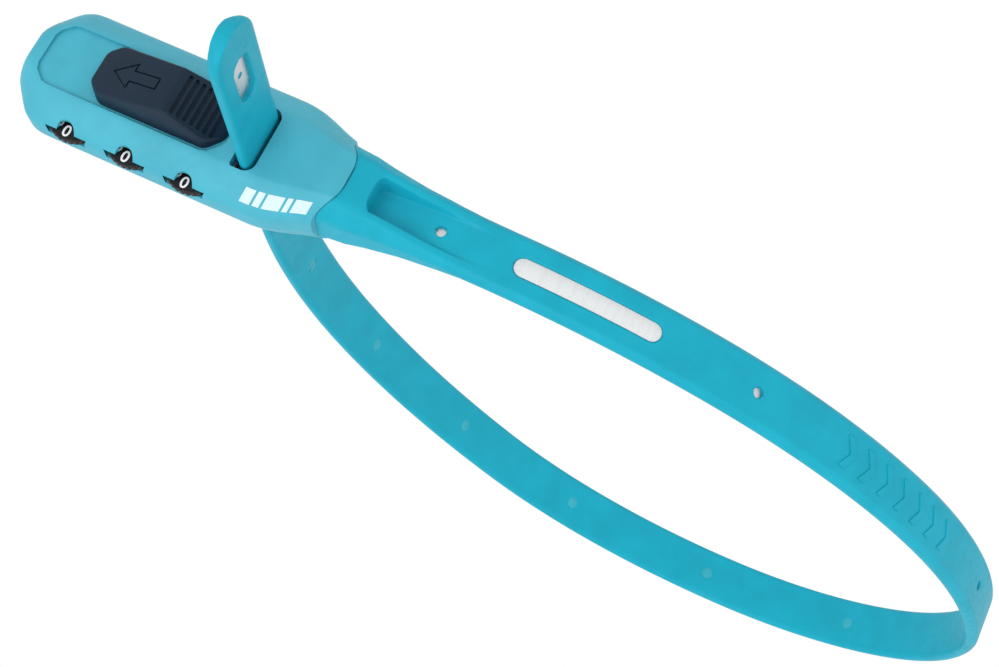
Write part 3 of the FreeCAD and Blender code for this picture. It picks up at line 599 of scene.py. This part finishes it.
def grid_normals(grid):
    """Normals of the closed grid, weighted by the area of the faces round each point."""
    ahead = np.roll(grid, -1, axis=1)
    across = ahead[1:] - grid[:-1]
    other = grid[1:] - ahead[:-1]
    faces = np.cross(across, other)
    total = np.zeros_like(grid)
    total[:-1] += faces
    total[1:] += faces
    total[:-1] += np.roll(faces, 1, axis=1)
    total[1:] += np.roll(faces, 1, axis=1)
    lengths = np.linalg.norm(total, axis=2, keepdims=True)
    return total / np.maximum(lengths, 1e-12)


def layered_faces(count, layers):
    """Quads between closed outlines of count points, stacked in layers."""
    faces = []
    for low in range(0, (layers - 1) * count, count):
        for index in range(count):
            after = (index + 1) % count
            faces.append((low + index, low + after, low + count + after, low + count + index))
    return faces


def face_outwards(mesh):
    bm = bmesh.new()
    bm.from_mesh(mesh)
    bmesh.ops.recalc_face_normals(bm, faces=bm.faces)
    bm.to_mesh(mesh)
    bm.free()


def smooth(mesh, sharp_angle):
    """Smooth shading, with edges sharper than the angle, in degrees, left as edges."""
    mesh.shade_smooth()
    mesh.set_sharp_from_angle(angle=math.radians(sharp_angle))


def mesh_object(name, points, faces, material, normals=None):
    mesh = bpy.data.meshes.new(name)
    mesh.from_pydata([tuple(point) for point in points], [], faces)
    mesh.update()
    mesh.shade_smooth()
    if normals is not None:
        mesh.normals_split_custom_set_from_vertices([tuple(normal) for normal in normals])
    mesh.materials.append(material)
    made = bpy.data.objects.new(name, mesh)
    bpy.context.scene.collection.objects.link(made)
    return made


def bend_at(piece):
    """Bakes the piece's placement into its mesh."""
    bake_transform(piece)


def strap_piece(name, grid, normals, first, last):
    """The rows first to last of the grid as one closed piece."""
    count = grid.shape[1]
    height = last - first + 1
    faces = layered_faces(count, height)
    points = list(grid[first:last + 1].reshape(-1, 3))
    directions = list(normals[first:last + 1].reshape(-1, 3))
    for row, next_row in ((first, first + 1), (last, last - 1)):
        start = len(points)
        edge = grid[row]
        facing = edge.mean(axis=0) - grid[next_row].mean(axis=0)
        points += list(edge)
        directions += [facing / max(1e-9, np.linalg.norm(facing))] * count
        for column in range(count // 2 - 1):
            quad = (column, column + 1, count - column - 2, count - column - 1)
            quad = tuple(dict.fromkeys(start + item % count for item in quad))
            faces.append(quad[::-1] if row == first else quad)
    faces = [face for face in faces if len(face) > 2]
    return mesh_object(name, points, faces, MATERIALS["strap_plastic"], directions)


def make_strap():
    grid = build_grid()
    normals = grid_normals(grid)
    cuts = [min(range(len(ROWS)), key=lambda row: abs(ROWS[row] - place)) for place in CUTS]
    cuts = [0] + cuts + [len(ROWS) - 1]
    names = ["strap_root"] + ["strap_run_%d" % number for number in range(1, 9)]
    stand_for = [["sleeve_root"]] + [["sleeve_%d" % number] for number in range(1, 9)]
    stand_for[-1].append("sleeve_tail")
    for hinge, name in enumerate(names):
        piece = strap_piece(name, grid, normals, cuts[hinge], cuts[hinge + 1])
        bend_at(piece)
        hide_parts(*stand_for[hinge])


# ------------------------------------------------------------- reflective strip
FILM_MARGIN = 0.12
FILM_LEVEL = HALF_THICK - STRIP_DEPTH + 0.12
# The film's layers: (inset of the outline, height)
FILM_LAYERS = ((0.0, FILM_LEVEL - 0.1), (0.0, FILM_LEVEL - 0.04), (0.05, FILM_LEVEL))
FILM_ARC = 12


def make_reflector():
    """A thin obround strip of silver film in its pocket."""
    start, end = STRIP[0] + FILM_MARGIN, STRIP[1] - FILM_MARGIN
    half = STRIP_HALF - FILM_MARGIN
    body = np.linspace(start + half, end - half, 16)[1:-1]
    angles = [math.pi * step / FILM_ARC + math.pi / 2 for step in range(FILM_ARC + 1)]
    outline = [(start + half + half * math.cos(a), half * math.sin(a)) for a in angles]
    outline += [(station, -half) for station in body]
    outline += [(end - half - half * math.cos(a), -half * math.sin(a)) for a in angles]
    outline += [(station, half) for station in body[::-1]]
    count = len(outline)
    points = []
    for inset, height in FILM_LAYERS:
        share = (half - inset) / half
        for station, across in outline:
            at = min(max(station, start + half), end - half)
            points.append(on_strap(at + (station - at) * share, height, across * share))
    faces = layered_faces(count, len(FILM_LAYERS))
    top = (len(FILM_LAYERS) - 1) * count
    middle = FILM_ARC // 2
    for index in range(count // 2 - 1):
        left, right = middle + 1 + index, middle - 1 - index
        quad = (left % count, left + 1, (right - 1) % count, right % count)
        faces.append(tuple(dict.fromkeys(top + item % count for item in quad)))
    faces = [face for face in faces if len(face) > 2]
    made = mesh_object("reflective_film", points, faces, MATERIALS["reflector"])
    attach(made, "strap_span_1")
    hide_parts("reflective_strip")


# ------------------------------------------------------------------ head shells
HEAD_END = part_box("head_cover")[0].x / MM
HEAD_HALF = 10.5
END_BLEND = 9
SPLIT = -0.8
# (x, half width) of the widest outline, from the middle of the dial end
PLAN = [
    (-42.2, 0.0), (-42.2, 4.8), (-37.6, 10.5), (1.0, 10.5), (3.5, 10.15), (6.0, 9.35),
    (8.5, 8.35), (11.0, 7.55), (15.0, 6.7),
]
# (level, inset of the sides, inset of the dial end)
COVER_RISE = [
    (SPLIT, 0.0, 0.0), (0.4, 0.0, 0.0), (1.6, 0.02, 0.0), (2.3, 0.16, 0.04), (2.9, 0.45, 0.1),
    (3.4, 0.85, 0.2), (3.9, 1.35, 0.34), (4.4, 1.95, 0.52), (4.9, 2.6, 0.74), (5.35, 3.2, 0.96),
    (5.75, 3.75, 1.18), (6.05, 4.25, 1.4), (6.25, 4.65, 1.65), (6.36, 4.95, 1.9), (6.4, 5.2, 2.2),
]
BASE_RISE = [
    (-6.4, 3.2, 3.0), (-6.33, 2.75, 2.5), (-6.1, 2.35, 2.05), (-5.7, 2.0, 1.7), (-5.0, 1.55, 1.3),
    (-4.0, 1.05, 0.85), (-2.8, 0.55, 0.4), (-1.6, 0.18, 0.1), (SPLIT, 0.0, 0.0),
]
# Half outlines, (x, half width), of the cavity and of the slider's shallow track.
CAVITY = [(-39.4, 3.2), (-36.2, 7.6), (1.6, 7.6)]
CAVITY_TOP = 4.2
CAVITY_BOTTOM = -5.0
TRACK = [
    (-38.6, 2.6), (-38.2, 3.7), (-36.6, 5.2), (-35.6, 5.45), (-9.2, 5.45), (-8.0, 5.15),
    (-6.5, 3.6), (-5.9, 2.6),
]
TRACK_FLOOR = 5.9

# The slot that the tail runs through.
SLOT_HALF = 5.7
SLOT = (-3.9, -0.1)
SLOT_CORNER = 1.8
SLOT_CHAMFER = 0.3

# The number wheels' slots, and the window above each digit with the hollow behind it.
WHEEL_CENTRE = 6.5
WHEEL_SLOT_RADIUS = 5.15
WHEEL_SLOT_LOW = 0.95
WHEEL_SLOT_HIGH = 2.65
NOTCH_RADIUS = 1.55
NOTCH_CENTRE = 10.25
HOLLOW_RADIUS = 1.9
HOLLOW_CENTRE = 7.6
HOLLOW_SHIFT = -0.3
HOLLOW_TOP = 3.6

# Screws, (x, across), and the reset button, in the base.
SCREWS = [(-37.8, 0.0), (-18.0, -5.9), (6.5, 4.4), (6.5, -4.4)]
SCREW_RADIUS = 1.55
SCREW_SEAT = -5.3
RESET = (-33.0, -5.0, 1.42)

# Levels and an X well past the head, for tools that cut right through.
ABOVE = 9
BELOW = -9
SEAM_REACH = 19.0

# Edges of the carved pieces that are sharper than this, in degrees, stay edges.
CARVED_SHARP = 32


def plan_outline():
    """The head's widest outline as a smooth closed line of (x, across)."""
    half = rounded(PLAN[:3] + [PLAN[3]], 2.4, 7)[:-1]
    sides = rounded([PLAN[2]] + PLAN[3:], 1.2, 3)[1:]
    run = list(np.linspace(half[-1][0], sides[0][0], 14)[1:-1])
    half = half + [np.array((x, HEAD_HALF)) for x in run] + sides
    other = [np.array((x, -across)) for x, across in half[:0:-1]]
    return half + other


def shell(name, rise):
    """A closed block of stacked outlines that draw in with the level."""
    outline = plan_outline()
    count = len(outline)
    points = []
    for level, side, end in rise:
        for x, across in outline:
            shift = end * (1 - eased(x, HEAD_END, HEAD_END + END_BLEND))
            width = across * (1 - side / HEAD_HALF)
            points.append(Vector((x + shift, level, MID_LEVEL + width)) * MM)
    faces = [(a, d, c, b) for a, b, c, d in layered_faces(count, len(rise))]
    faces.append(tuple(range(count)))
    last = (len(rise) - 1) * count
    faces.append(tuple(last + index for index in reversed(range(count))))
    return mesh_object(name, points, faces, MATERIALS["head_plastic"])


def prism(outline, low, high):
    """A closed block with the given (x, across) outline between two levels."""
    count = len(outline)
    points = [
        Vector((x, level, MID_LEVEL + across)) * MM
        for level in (low, high)
        for x, across in outline
    ]
    faces = layered_faces(count, 2)
    faces += [tuple(reversed(range(count))), tuple(range(count, 2 * count))]
    made = mesh_object("tool", points, faces, MATERIALS["head_plastic"])
    face_outwards(made.data)
    return made


def both_sides(half):
    return [(x, -across) for x, across in half] + [(x, across) for x, across in reversed(half)]


def disc(x, across, radius, steps=40):
    angles = [2 * math.pi * step / steps for step in range(steps)]
    return [(x + radius * math.cos(a), across + radius * math.sin(a)) for a in angles]


def carve(target, tools):
    """Takes the tools away from the target and applies the result."""
    for tool in tools:
        cut = target.modifiers.new("cut", "BOOLEAN")
        cut.operation = "DIFFERENCE"
        cut.solver = "EXACT"
        cut.object = tool
    bpy.context.view_layer.update()
    graph = bpy.context.evaluated_depsgraph_get()
    mesh = bpy.data.meshes.new_from_object(target.evaluated_get(graph))
    target.modifiers.clear()
    target.data = mesh
    for tool in tools:
        bpy.data.objects.remove(tool)
    bm = bmesh.new()
    bm.from_mesh(mesh)
    bmesh.ops.remove_doubles(bm, verts=bm.verts, dist=0.002 * MM)
    bmesh.ops.recalc_face_normals(bm, faces=bm.faces)
    bm.to_mesh(mesh)
    bm.free()
    smooth(mesh, CARVED_SHARP)


def slot_outline():
    left, right = SLOT
    reach = right - SLOT_CORNER
    bend = [math.pi / 2 * step / 8 for step in range(9)]
    half = [(left, SLOT_HALF - SLOT_CHAMFER), (left + SLOT_CHAMFER, SLOT_HALF)]
    for angle in bend:
        half.append((
            reach + SLOT_CORNER * math.sin(angle),
            SLOT_HALF - SLOT_CORNER + SLOT_CORNER * math.cos(angle),
        ))
    return both_sides(half)


def seam_outline():
    steps = [HEAD_HALF * step / 24 for step in range(-24, 25)]
    line = [(seam_x(across), across) for across in steps]
    return line + [(SEAM_REACH, HEAD_HALF), (SEAM_REACH, -HEAD_HALF)]


def dial_places():
    return [JOINTS["dial_%d_turn" % number]["pos_m"][0] / MM for number in (1, 2, 3)]


def make_head():
    cover = shell("cover_shell", COVER_RISE)
    tools = [
        prism(both_sides(CAVITY), SPLIT - 1, CAVITY_TOP),
        prism(both_sides(TRACK), TRACK_FLOOR, ABOVE - 1),
        prism(slot_outline(), -3, ABOVE),
        prism(seam_outline(), -3, ABOVE),
    ]
    for x in dial_places():
        slot = disc(x, WHEEL_CENTRE, WHEEL_SLOT_RADIUS, 72)
        notch = disc(x, NOTCH_CENTRE, NOTCH_RADIUS)
        hollow = disc(x + HOLLOW_SHIFT, HOLLOW_CENTRE, HOLLOW_RADIUS)
        tools.append(prism(slot, WHEEL_SLOT_LOW, WHEEL_SLOT_HIGH))
        tools.append(prism(notch, WHEEL_SLOT_HIGH - 0.15, ABOVE))
        tools.append(prism(hollow, WHEEL_SLOT_HIGH - 0.15, HOLLOW_TOP))
    carve(cover, tools)
    base = shell("base_shell", BASE_RISE)
    tools = [
        prism(both_sides(CAVITY), CAVITY_BOTTOM, SPLIT + 1),
        prism(slot_outline(), BELOW, 3),
        prism(seam_outline(), BELOW, 3),
        prism(disc(*RESET), BELOW, -4),
    ]
    tools += [prism(disc(x, across, SCREW_RADIUS), BELOW, SCREW_SEAT) for x, across in SCREWS]
    carve(base, tools)
    for made, stands_for in ((cover, "head_cover"), (base, "head_base")):
        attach(made, "head")
        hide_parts(stands_for)


# ------------------------------------------------------------ marks on the surface
def half_at(x):
    """The head's half width at the widest level."""
    return blend_values(x, PLAN[2:])


def inset_at(level):
    """How far the cover's sides have drawn in at a level."""
    return blend_values(level, [row[:2] for row in COVER_RISE])


def on_flank(x, level, lift):
    """A point on the cover's shoulder on the dial side, lifted off the surface."""
    step = 0.2
    inset = inset_at(level)
    slope = math.atan2(inset - inset_at(level - step), step)
    across = half_at(x) * (1 - inset / HEAD_HALF) + lift * math.cos(slope)
    return Vector((x, level + lift * math.sin(slope), MID_LEVEL + across)) * MM


SHEET_ROWS = 6
SHEET_SUNK = -0.05
SHEET_SHARP = 40


def sheet(name, place, columns, material, thickness):
    """A thin closed patch: place(u, v, height) over the given columns of (u_low, u_high)."""
    points, faces = [], []
    rows = SHEET_ROWS
    for height in (thickness, SHEET_SUNK):
        for u_low, u_high in columns:
            for row in range(rows):
                v = row / (rows - 1)
                points.append(place(u_low + (u_high - u_low) * v, v, height))
    wide = len(columns)
    size = wide * rows
    for column in range(wide - 1):
        for row in range(rows - 1):
            a = column * rows + row
            quad = (a, a + rows, a + rows + 1, a + 1)
            faces.append(quad)
            faces.append(tuple(size + index for index in reversed(quad)))
    rim = [column * rows for column in range(wide)]
    rim += [(wide - 1) * rows + row for row in range(1, rows)]
    rim += [column * rows + rows - 1 for column in range(wide - 2, -1, -1)]
    rim += [row for row in range(rows - 2, 0, -1)]
    for corner, after in zip(rim, rim[1:] + rim[:1]):
        faces.append((corner, corner + size, after + size, after))
    made = mesh_object(name, points, faces, material)
    smooth(made.data, SHEET_SHARP)
    return made


PRINT_LOW = 3.7
PRINT_HIGH = 5.3
PRINT_SLANT = 0.55
PRINT_THICK = 0.05
PRINT_BARS = [(-0.6, 1.1), (1.5, 2.6), (3.0, 5.6), (6.0, 6.8), (7.2, 9.6)]


def print_place(x, share, height):
    return on_flank(x, PRINT_LOW + (PRINT_HIGH - PRINT_LOW) * share, height)


def make_print():
    """A plain row of slanted white bars on the shoulder by the seam."""
    for number, (start, end) in enumerate(PRINT_BARS, start=1):
        places = [start + (end - start) * step / 4 for step in range(5)]
        columns = [(x, x + PRINT_SLANT) for x in places]
        made = sheet("print_bar_%d" % number, print_place, columns, PRINT_WHITE, PRINT_THICK)
        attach(made, "head")


EMBOSS_START = 67.0
EMBOSS_PITCH = 4.6
EMBOSS_COUNT = 7
EMBOSS_HALF = 2.6
EMBOSS_LEAN = 1.6
EMBOSS_LINE = 1.3
EMBOSS_RISE = 0.16


def emboss_place(spot, _, height):
    """A point of a chevron: spot is its station and how far across it is."""
    return on_strap(spot[0], HALF_THICK + height, -spot[1])


def make_emboss():
    """A row of raised chevrons on the strap's outer face."""
    for number in range(EMBOSS_COUNT):
        columns = []
        for step in range(9):
            across = EMBOSS_HALF * (step / 4 - 1)
            lean = EMBOSS_LEAN * abs(across) / EMBOSS_HALF
            station = EMBOSS_START + number * EMBOSS_PITCH - lean
            edge = np.array((station, across))
            columns.append((edge, edge + (EMBOSS_LINE, 0)))
        made = sheet("raised_mark_%d" % (number + 1), emboss_place, columns,
                     MATERIALS["strap_plastic"], EMBOSS_RISE)
        bend_at(made)


# --------------------------------------------------------------------- slider
# Levels of the cap's two lower outlines, how much its sides draw in and over what height,
# and the rim's rounding.
SLIDER_LEVELS = (6.0, 7.3)
SLIDER_DRAW = 0.18
SLIDER_HIGH = 5.2
SLIDER_EDGE = 0.75
# Half widths of the cap's ends, lengths of its slanted corners, and their rounding.
SLIDER_ENDS = (2.9, 2.2)
SLIDER_SLANTS = (2.1, 2.3)
SLIDER_CORNER = 0.9
# The least height of the cap's upper edge over its outlines.
SLIDER_LEAST = 0.4
SLOPE_START = (-30.0, 7.9)
SLOPE_CREST = (-15.5, 11.2)
SLOPE_TIP = (-5.3, 6.4)

# The grooves across the slope.
GROOVES = 7
GROOVE_FIRST = 1.5
GROOVE_PITCH = 1.13
GROOVE_WIDE = 3.45
GROOVE_HALF = 0.31
GROOVE_DEPTH = 0.55

# Corners of the engraved arrow's upper half, (x, across), and the line's half width and depth.
ARROW = [(-26.0, 0.0), (-22.8, 2.2), (-22.8, 0.95), (-18.2, 0.95)]
ARROW_LINE = 0.13
ARROW_DEPTH = 0.3


def slope_level(x):
    """The level of the slider's top, which rises to a crest and falls to its tip."""
    return blend_values(x, (SLOPE_START, SLOPE_CREST, SLOPE_TIP))


def slider_plan():
    """Half of the slider's outline, from the dial end to the crest and from it to the tip."""
    low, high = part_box("slider_button")
    half = high.z / MM - MID_LEVEL
    left, right = low.x / MM, high.x / MM
    corners = [
        (left, 0), (left, SLIDER_ENDS[0]), (left + SLIDER_SLANTS[0], half),
        (right - SLIDER_SLANTS[1], half), (right, SLIDER_ENDS[1]), (right, 0),
    ]
    line = rounded(corners, SLIDER_CORNER)
    before = [point for point in line if point[0] < SLOPE_CREST[0]]
    after = [point for point in line if point[0] > SLOPE_CREST[0]]
    return before + [np.array((SLOPE_CREST[0], half))], after


def slider_point(x, across, level):
    """A point of the cap's side, which draws in towards the top."""
    width = across * (1 - SLIDER_DRAW * (level - SLIDER_LEVELS[0]) / SLIDER_HIGH)
    return Vector((x, level, MID_LEVEL + width)) * MM


def slider_body():
    """The cap without its grooves: stacked outlines, with a rounded rim."""
    before, after = slider_plan()
    half = before + after
    outline = half + [np.array((x, -across)) for x, across in half[-2:0:-1]]
    count = len(outline)
    bm = bmesh.new()
    rings = []
    for level in SLIDER_LEVELS:
        spots = [(x, across, min(level, slope_level(x) - SLIDER_LEAST)) for x, across in outline]
        rings.append([bm.verts.new(slider_point(*spot)) for spot in spots])
    top = [bm.verts.new(slider_point(x, across, slope_level(x))) for x, across in outline]
    rings.append(top)
    for lower, upper in zip(rings, rings[1:]):
        for index in range(count):
            follow = (index + 1) % count
            bm.faces.new((lower[index], lower[follow], upper[follow], upper[index]))
    bm.faces.new(rings[0])
    first = len(before) - 1
    second = count - first
    bm.faces.new([top[index % count] for index in range(first, second + 1)])
    bm.faces.new([top[index % count] for index in range(second, count + first + 1)])
    bmesh.ops.recalc_face_normals(bm, faces=bm.faces)
    rim = [edge for edge in bm.edges if all(vertex in top for vertex in edge.verts)]
    bmesh.ops.bevel(bm, geom=rim, offset=SLIDER_EDGE * MM, segments=4, profile=0.5,
                    affect="EDGES", clamp_overlap=True)
    mesh = bpy.data.meshes.new("slider_cap")
    bm.to_mesh(mesh)
    bm.free()
    mesh.materials.append(MATERIALS["slider_plastic"])
    cap = bpy.data.objects.new("slider_cap", mesh)
    bpy.context.scene.collection.objects.link(cap)
    return cap


def groove_tools():
    """Blocks with round ends, square to the slope."""
    fall = math.atan2(SLOPE_TIP[1] - SLOPE_CREST[1], SLOPE_TIP[0] - SLOPE_CREST[0])
    ahead = Vector((math.cos(fall), math.sin(fall), 0))
    out = Vector((-math.sin(fall), math.cos(fall), 0))
    shape = []
    for sign in (1, -1):
        for step in range(9):
            angle = math.pi * step / 8
            reach = GROOVE_WIDE - GROOVE_HALF + GROOVE_HALF * math.sin(angle)
            shape.append((sign * GROOVE_HALF * math.cos(angle), sign * reach))
    tools = []
    for number in range(GROOVES):
        along_slope = GROOVE_FIRST + number * GROOVE_PITCH
        centre = Vector((*SLOPE_CREST, MID_LEVEL)) + ahead * along_slope
        tool = prism(shape, 0, 1)
        for vertex in tool.data.vertices:
            along, level, across = vertex.co / MM
            height = 2 * level - GROOVE_DEPTH
            spot = centre + ahead * along + out * height + Vector((0, 0, across - MID_LEVEL))
            vertex.co = spot * MM
        tools.append(tool)
    return tools


def arrow_tools():
    """Thin blocks on the slider's top, one for each edge of the arrow."""
    outline = ARROW + [(x, -across) for x, across in ARROW[:0:-1]]
    tools = []
    for first, last in zip(outline, outline[1:] + outline[:1]):
        start, end = np.array(first), np.array(last)
        along = (end - start) / np.linalg.norm(end - start) * ARROW_LINE
        side = np.array((-along[1], along[0]))
        start, end = start - along, end + along
        shape = [start - side, end - side, end + side, start + side]
        tool = prism(shape, -ARROW_DEPTH, ARROW_DEPTH)
        for vertex in tool.data.vertices:
            vertex.co.y += slope_level(vertex.co.x / MM) * MM
        tools.append(tool)
    return tools


def make_slider():
    """The slider's cap, with a grooved slope and an engraved arrow."""
    cap = slider_body()
    carve(cap, groove_tools() + arrow_tools())
    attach(cap, "slider")
    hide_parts("slider_button")


# ----------------------------------------------------- pins in the strap's dimples
PIN_RADIUS = 1.15
# The pins' layers: (inset of the outline, depth below the strap's face)
PIN_LAYERS = ((0.0, 0.3), (0.0, 0.08), (0.1, 0.03))
PIN_STEPS = 24
PIN_SHARP = 40


def make_pins():
    """Pale moulding pins, nearly flush in the dimples of the strap's inner face."""
    for number, station in enumerate(DIMPLES, start=1):
        points = []
        for inset, sunk in PIN_LAYERS:
            for along, across in disc(0, 0, PIN_RADIUS - inset, PIN_STEPS):
                points.append(on_strap(station + along, sunk - HALF_THICK, across))
        faces = layered_faces(PIN_STEPS, len(PIN_LAYERS))
        faces.append(tuple(range(PIN_STEPS)))
        faces.append(tuple(range(2 * PIN_STEPS, 3 * PIN_STEPS)))
        made = mesh_object("moulding_pin_%d" % number, points, faces, PALE_PLASTIC)
        face_outwards(made.data)
        smooth(made.data, PIN_SHARP)
        bend_at(made)


# ---------------------------------------------------------------- hidden springs
# Each spring's node, joint, direction, and which corner of its box stays in place.
SPRINGS = (
    ("slider_spring", "slider_release", (1, 0, 0), 0),
    ("reset_spring", "reset_press", (0, 1, 0), 1),
)


def make_springs():
    """Copies of the slider's and the reset button's springs, fixed to the head."""
    for node, joint, axis, fixed_end in SPRINGS:
        coil = bpy.data.objects.new(node + "_coil", frame["nodes"][node].data.copy())
        bpy.context.scene.collection.objects.link(coil)
        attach(coil, "head")
        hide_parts(node)
        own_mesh(coil)


# ----------------------------------------------------------------- wheel digits
DIGIT_HEIGHT = 1.95
DIGIT_SIZE = DIGIT_HEIGHT * 1.38
DIGIT_REACH = 3.35
DIGIT_THICK = 0.012
DIGIT_BOLD = 0.035
DIGIT_TURN = 36


def make_digit(digit, centre):
    """A digit on its place round the wheel whose upper face has that centre."""
    curve = bpy.data.curves.new("digit_curve", "FONT")
    curve.body = str(digit)
    curve.size = DIGIT_SIZE * MM
    curve.align_x = "CENTER"
    curve.align_y = "CENTER"
    curve.extrude = DIGIT_THICK * MM
    curve.offset = DIGIT_BOLD * MM
    holder = bpy.data.objects.new("digit", curve)
    bpy.context.scene.collection.objects.link(holder)
    face = Matrix(((1, 0, 0), (0, 0, 1), (0, -1, 0))).to_4x4()
    spin = Matrix.Rotation(math.radians(DIGIT_TURN * digit), 4, "Y")
    away = Matrix.Translation(Vector((0, 0, DIGIT_REACH * MM)))
    holder.matrix_world = Matrix.Translation(centre) @ spin @ away @ face
    bpy.context.view_layer.update()
    graph = bpy.context.evaluated_depsgraph_get()
    mesh = bpy.data.meshes.new_from_object(holder.evaluated_get(graph))
    mesh.transform(holder.matrix_world)
    bpy.data.objects.remove(holder)
    made = bpy.data.objects.new("digit_%d" % digit, mesh)
    bpy.context.scene.collection.objects.link(made)
    return made


def make_digits(number):
    """Ten digits round the upper face of a number wheel."""
    low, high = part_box("number_wheel_%d" % number)
    centre = (low + high) / 2
    centre.y = high.y + DIGIT_THICK * MM
    parts = [make_digit(digit, centre) for digit in range(10)]
    bpy.ops.object.select_all(action="DESELECT")
    for part in parts:
        part.select_set(True)
    bpy.context.view_layer.objects.active = parts[0]
    bpy.ops.object.join()
    made = bpy.context.view_layer.objects.active
    made.name = "digits_%d" % number
    made.data.materials.clear()
    made.data.materials.append(DIGIT_WHITE)
    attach(made, "dial_%d" % number)


# ----------------------------------------------------------------------- studio
CAMERA_TURN = 25.56
CAMERA_RISE = 69.61
CAMERA_ROLL = -0.43
CAMERA_PLACE = (78.756, 221.348, 95.483)
CAMERA_LENS = 57.62


def make_camera():
    turn, rise, roll = (math.radians(a) for a in (CAMERA_TURN, CAMERA_RISE, CAMERA_ROLL))
    back = Vector((
        math.sin(turn) * math.cos(rise), math.sin(rise), math.cos(turn) * math.cos(rise),
    ))
    level = Vector((math.cos(turn), 0, -math.sin(turn)))
    upward = back.cross(level)
    right = math.cos(roll) * level + math.sin(roll) * upward
    upward = math.cos(roll) * upward - math.sin(roll) * level
    data = bpy.data.cameras.new("camera")
    data.lens = CAMERA_LENS
    data.sensor_width = 36
    data.clip_start = 0.005
    data.clip_end = 20
    camera = bpy.data.objects.new("camera", data)
    place = Matrix((right, upward, back)).transposed().to_4x4()
    place.translation = Vector(CAMERA_PLACE) * MM
    camera.matrix_world = place
    bpy.context.scene.collection.objects.link(camera)
    bpy.context.scene.camera = camera


# What the lights point at, and each light's place, size and power.
LIT_PLACE = (0.04, -0.03, 0.01)
KEY = ((-0.15, 0.6, 0.72), 0.6, 3.5)
FILL = ((0.75, 0.35, 0.35), 0.7, 0.8)
FLOOR_HALF = 6.0
FLOOR_DROP = 0.0002


def area_light(name, place, size, power):
    data = bpy.data.lights.new(name, "AREA")
    data.shape = "RECTANGLE"
    data.size = size
    data.size_y = size
    data.energy = power
    light = bpy.data.objects.new(name, data)
    light.location = place
    aim = Vector(LIT_PLACE) - Vector(place)
    light.rotation_euler = aim.to_track_quat("-Z", "Y").to_euler()
    bpy.context.scene.collection.objects.link(light)


def make_studio():
    area_light("key", *KEY)
    area_light("fill", *FILL)
    world = bpy.data.worlds.new("world")
    world.use_nodes = True
    background = world.node_tree.nodes["Background"]
    background.inputs["Color"].default_value = (1, 1, 1, 1)
    background.inputs["Strength"].default_value = 1.0
    bpy.context.scene.world = world
    bpy.context.scene.view_settings.view_transform = "Standard"
    signs = ((-1, -1), (1, -1), (1, 1), (-1, 1))
    corners = [(x * FLOOR_HALF, y * FLOOR_HALF, 0) for x, y in signs]
    floor_material = bpy.data.materials.new("floor_white")
    floor_material.use_nodes = True
    tree = floor_material.node_tree
    glow = tree.nodes.new("ShaderNodeEmission")
    glow.inputs["Strength"].default_value = 1.0
    tree.links.new(glow.outputs["Emission"], tree.nodes["Material Output"].inputs["Surface"])
    floor = mesh_object("floor", corners, [(0, 1, 2, 3)], floor_material)
    floor.location.z = -FLOOR_DROP


dress_cad()
make_head()
make_print()
make_strap()
make_reflector()
make_emboss()
make_slider()
make_springs()
make_pins()
for wheel in (1, 2, 3):
    make_digits(wheel)
make_camera()
make_studio()
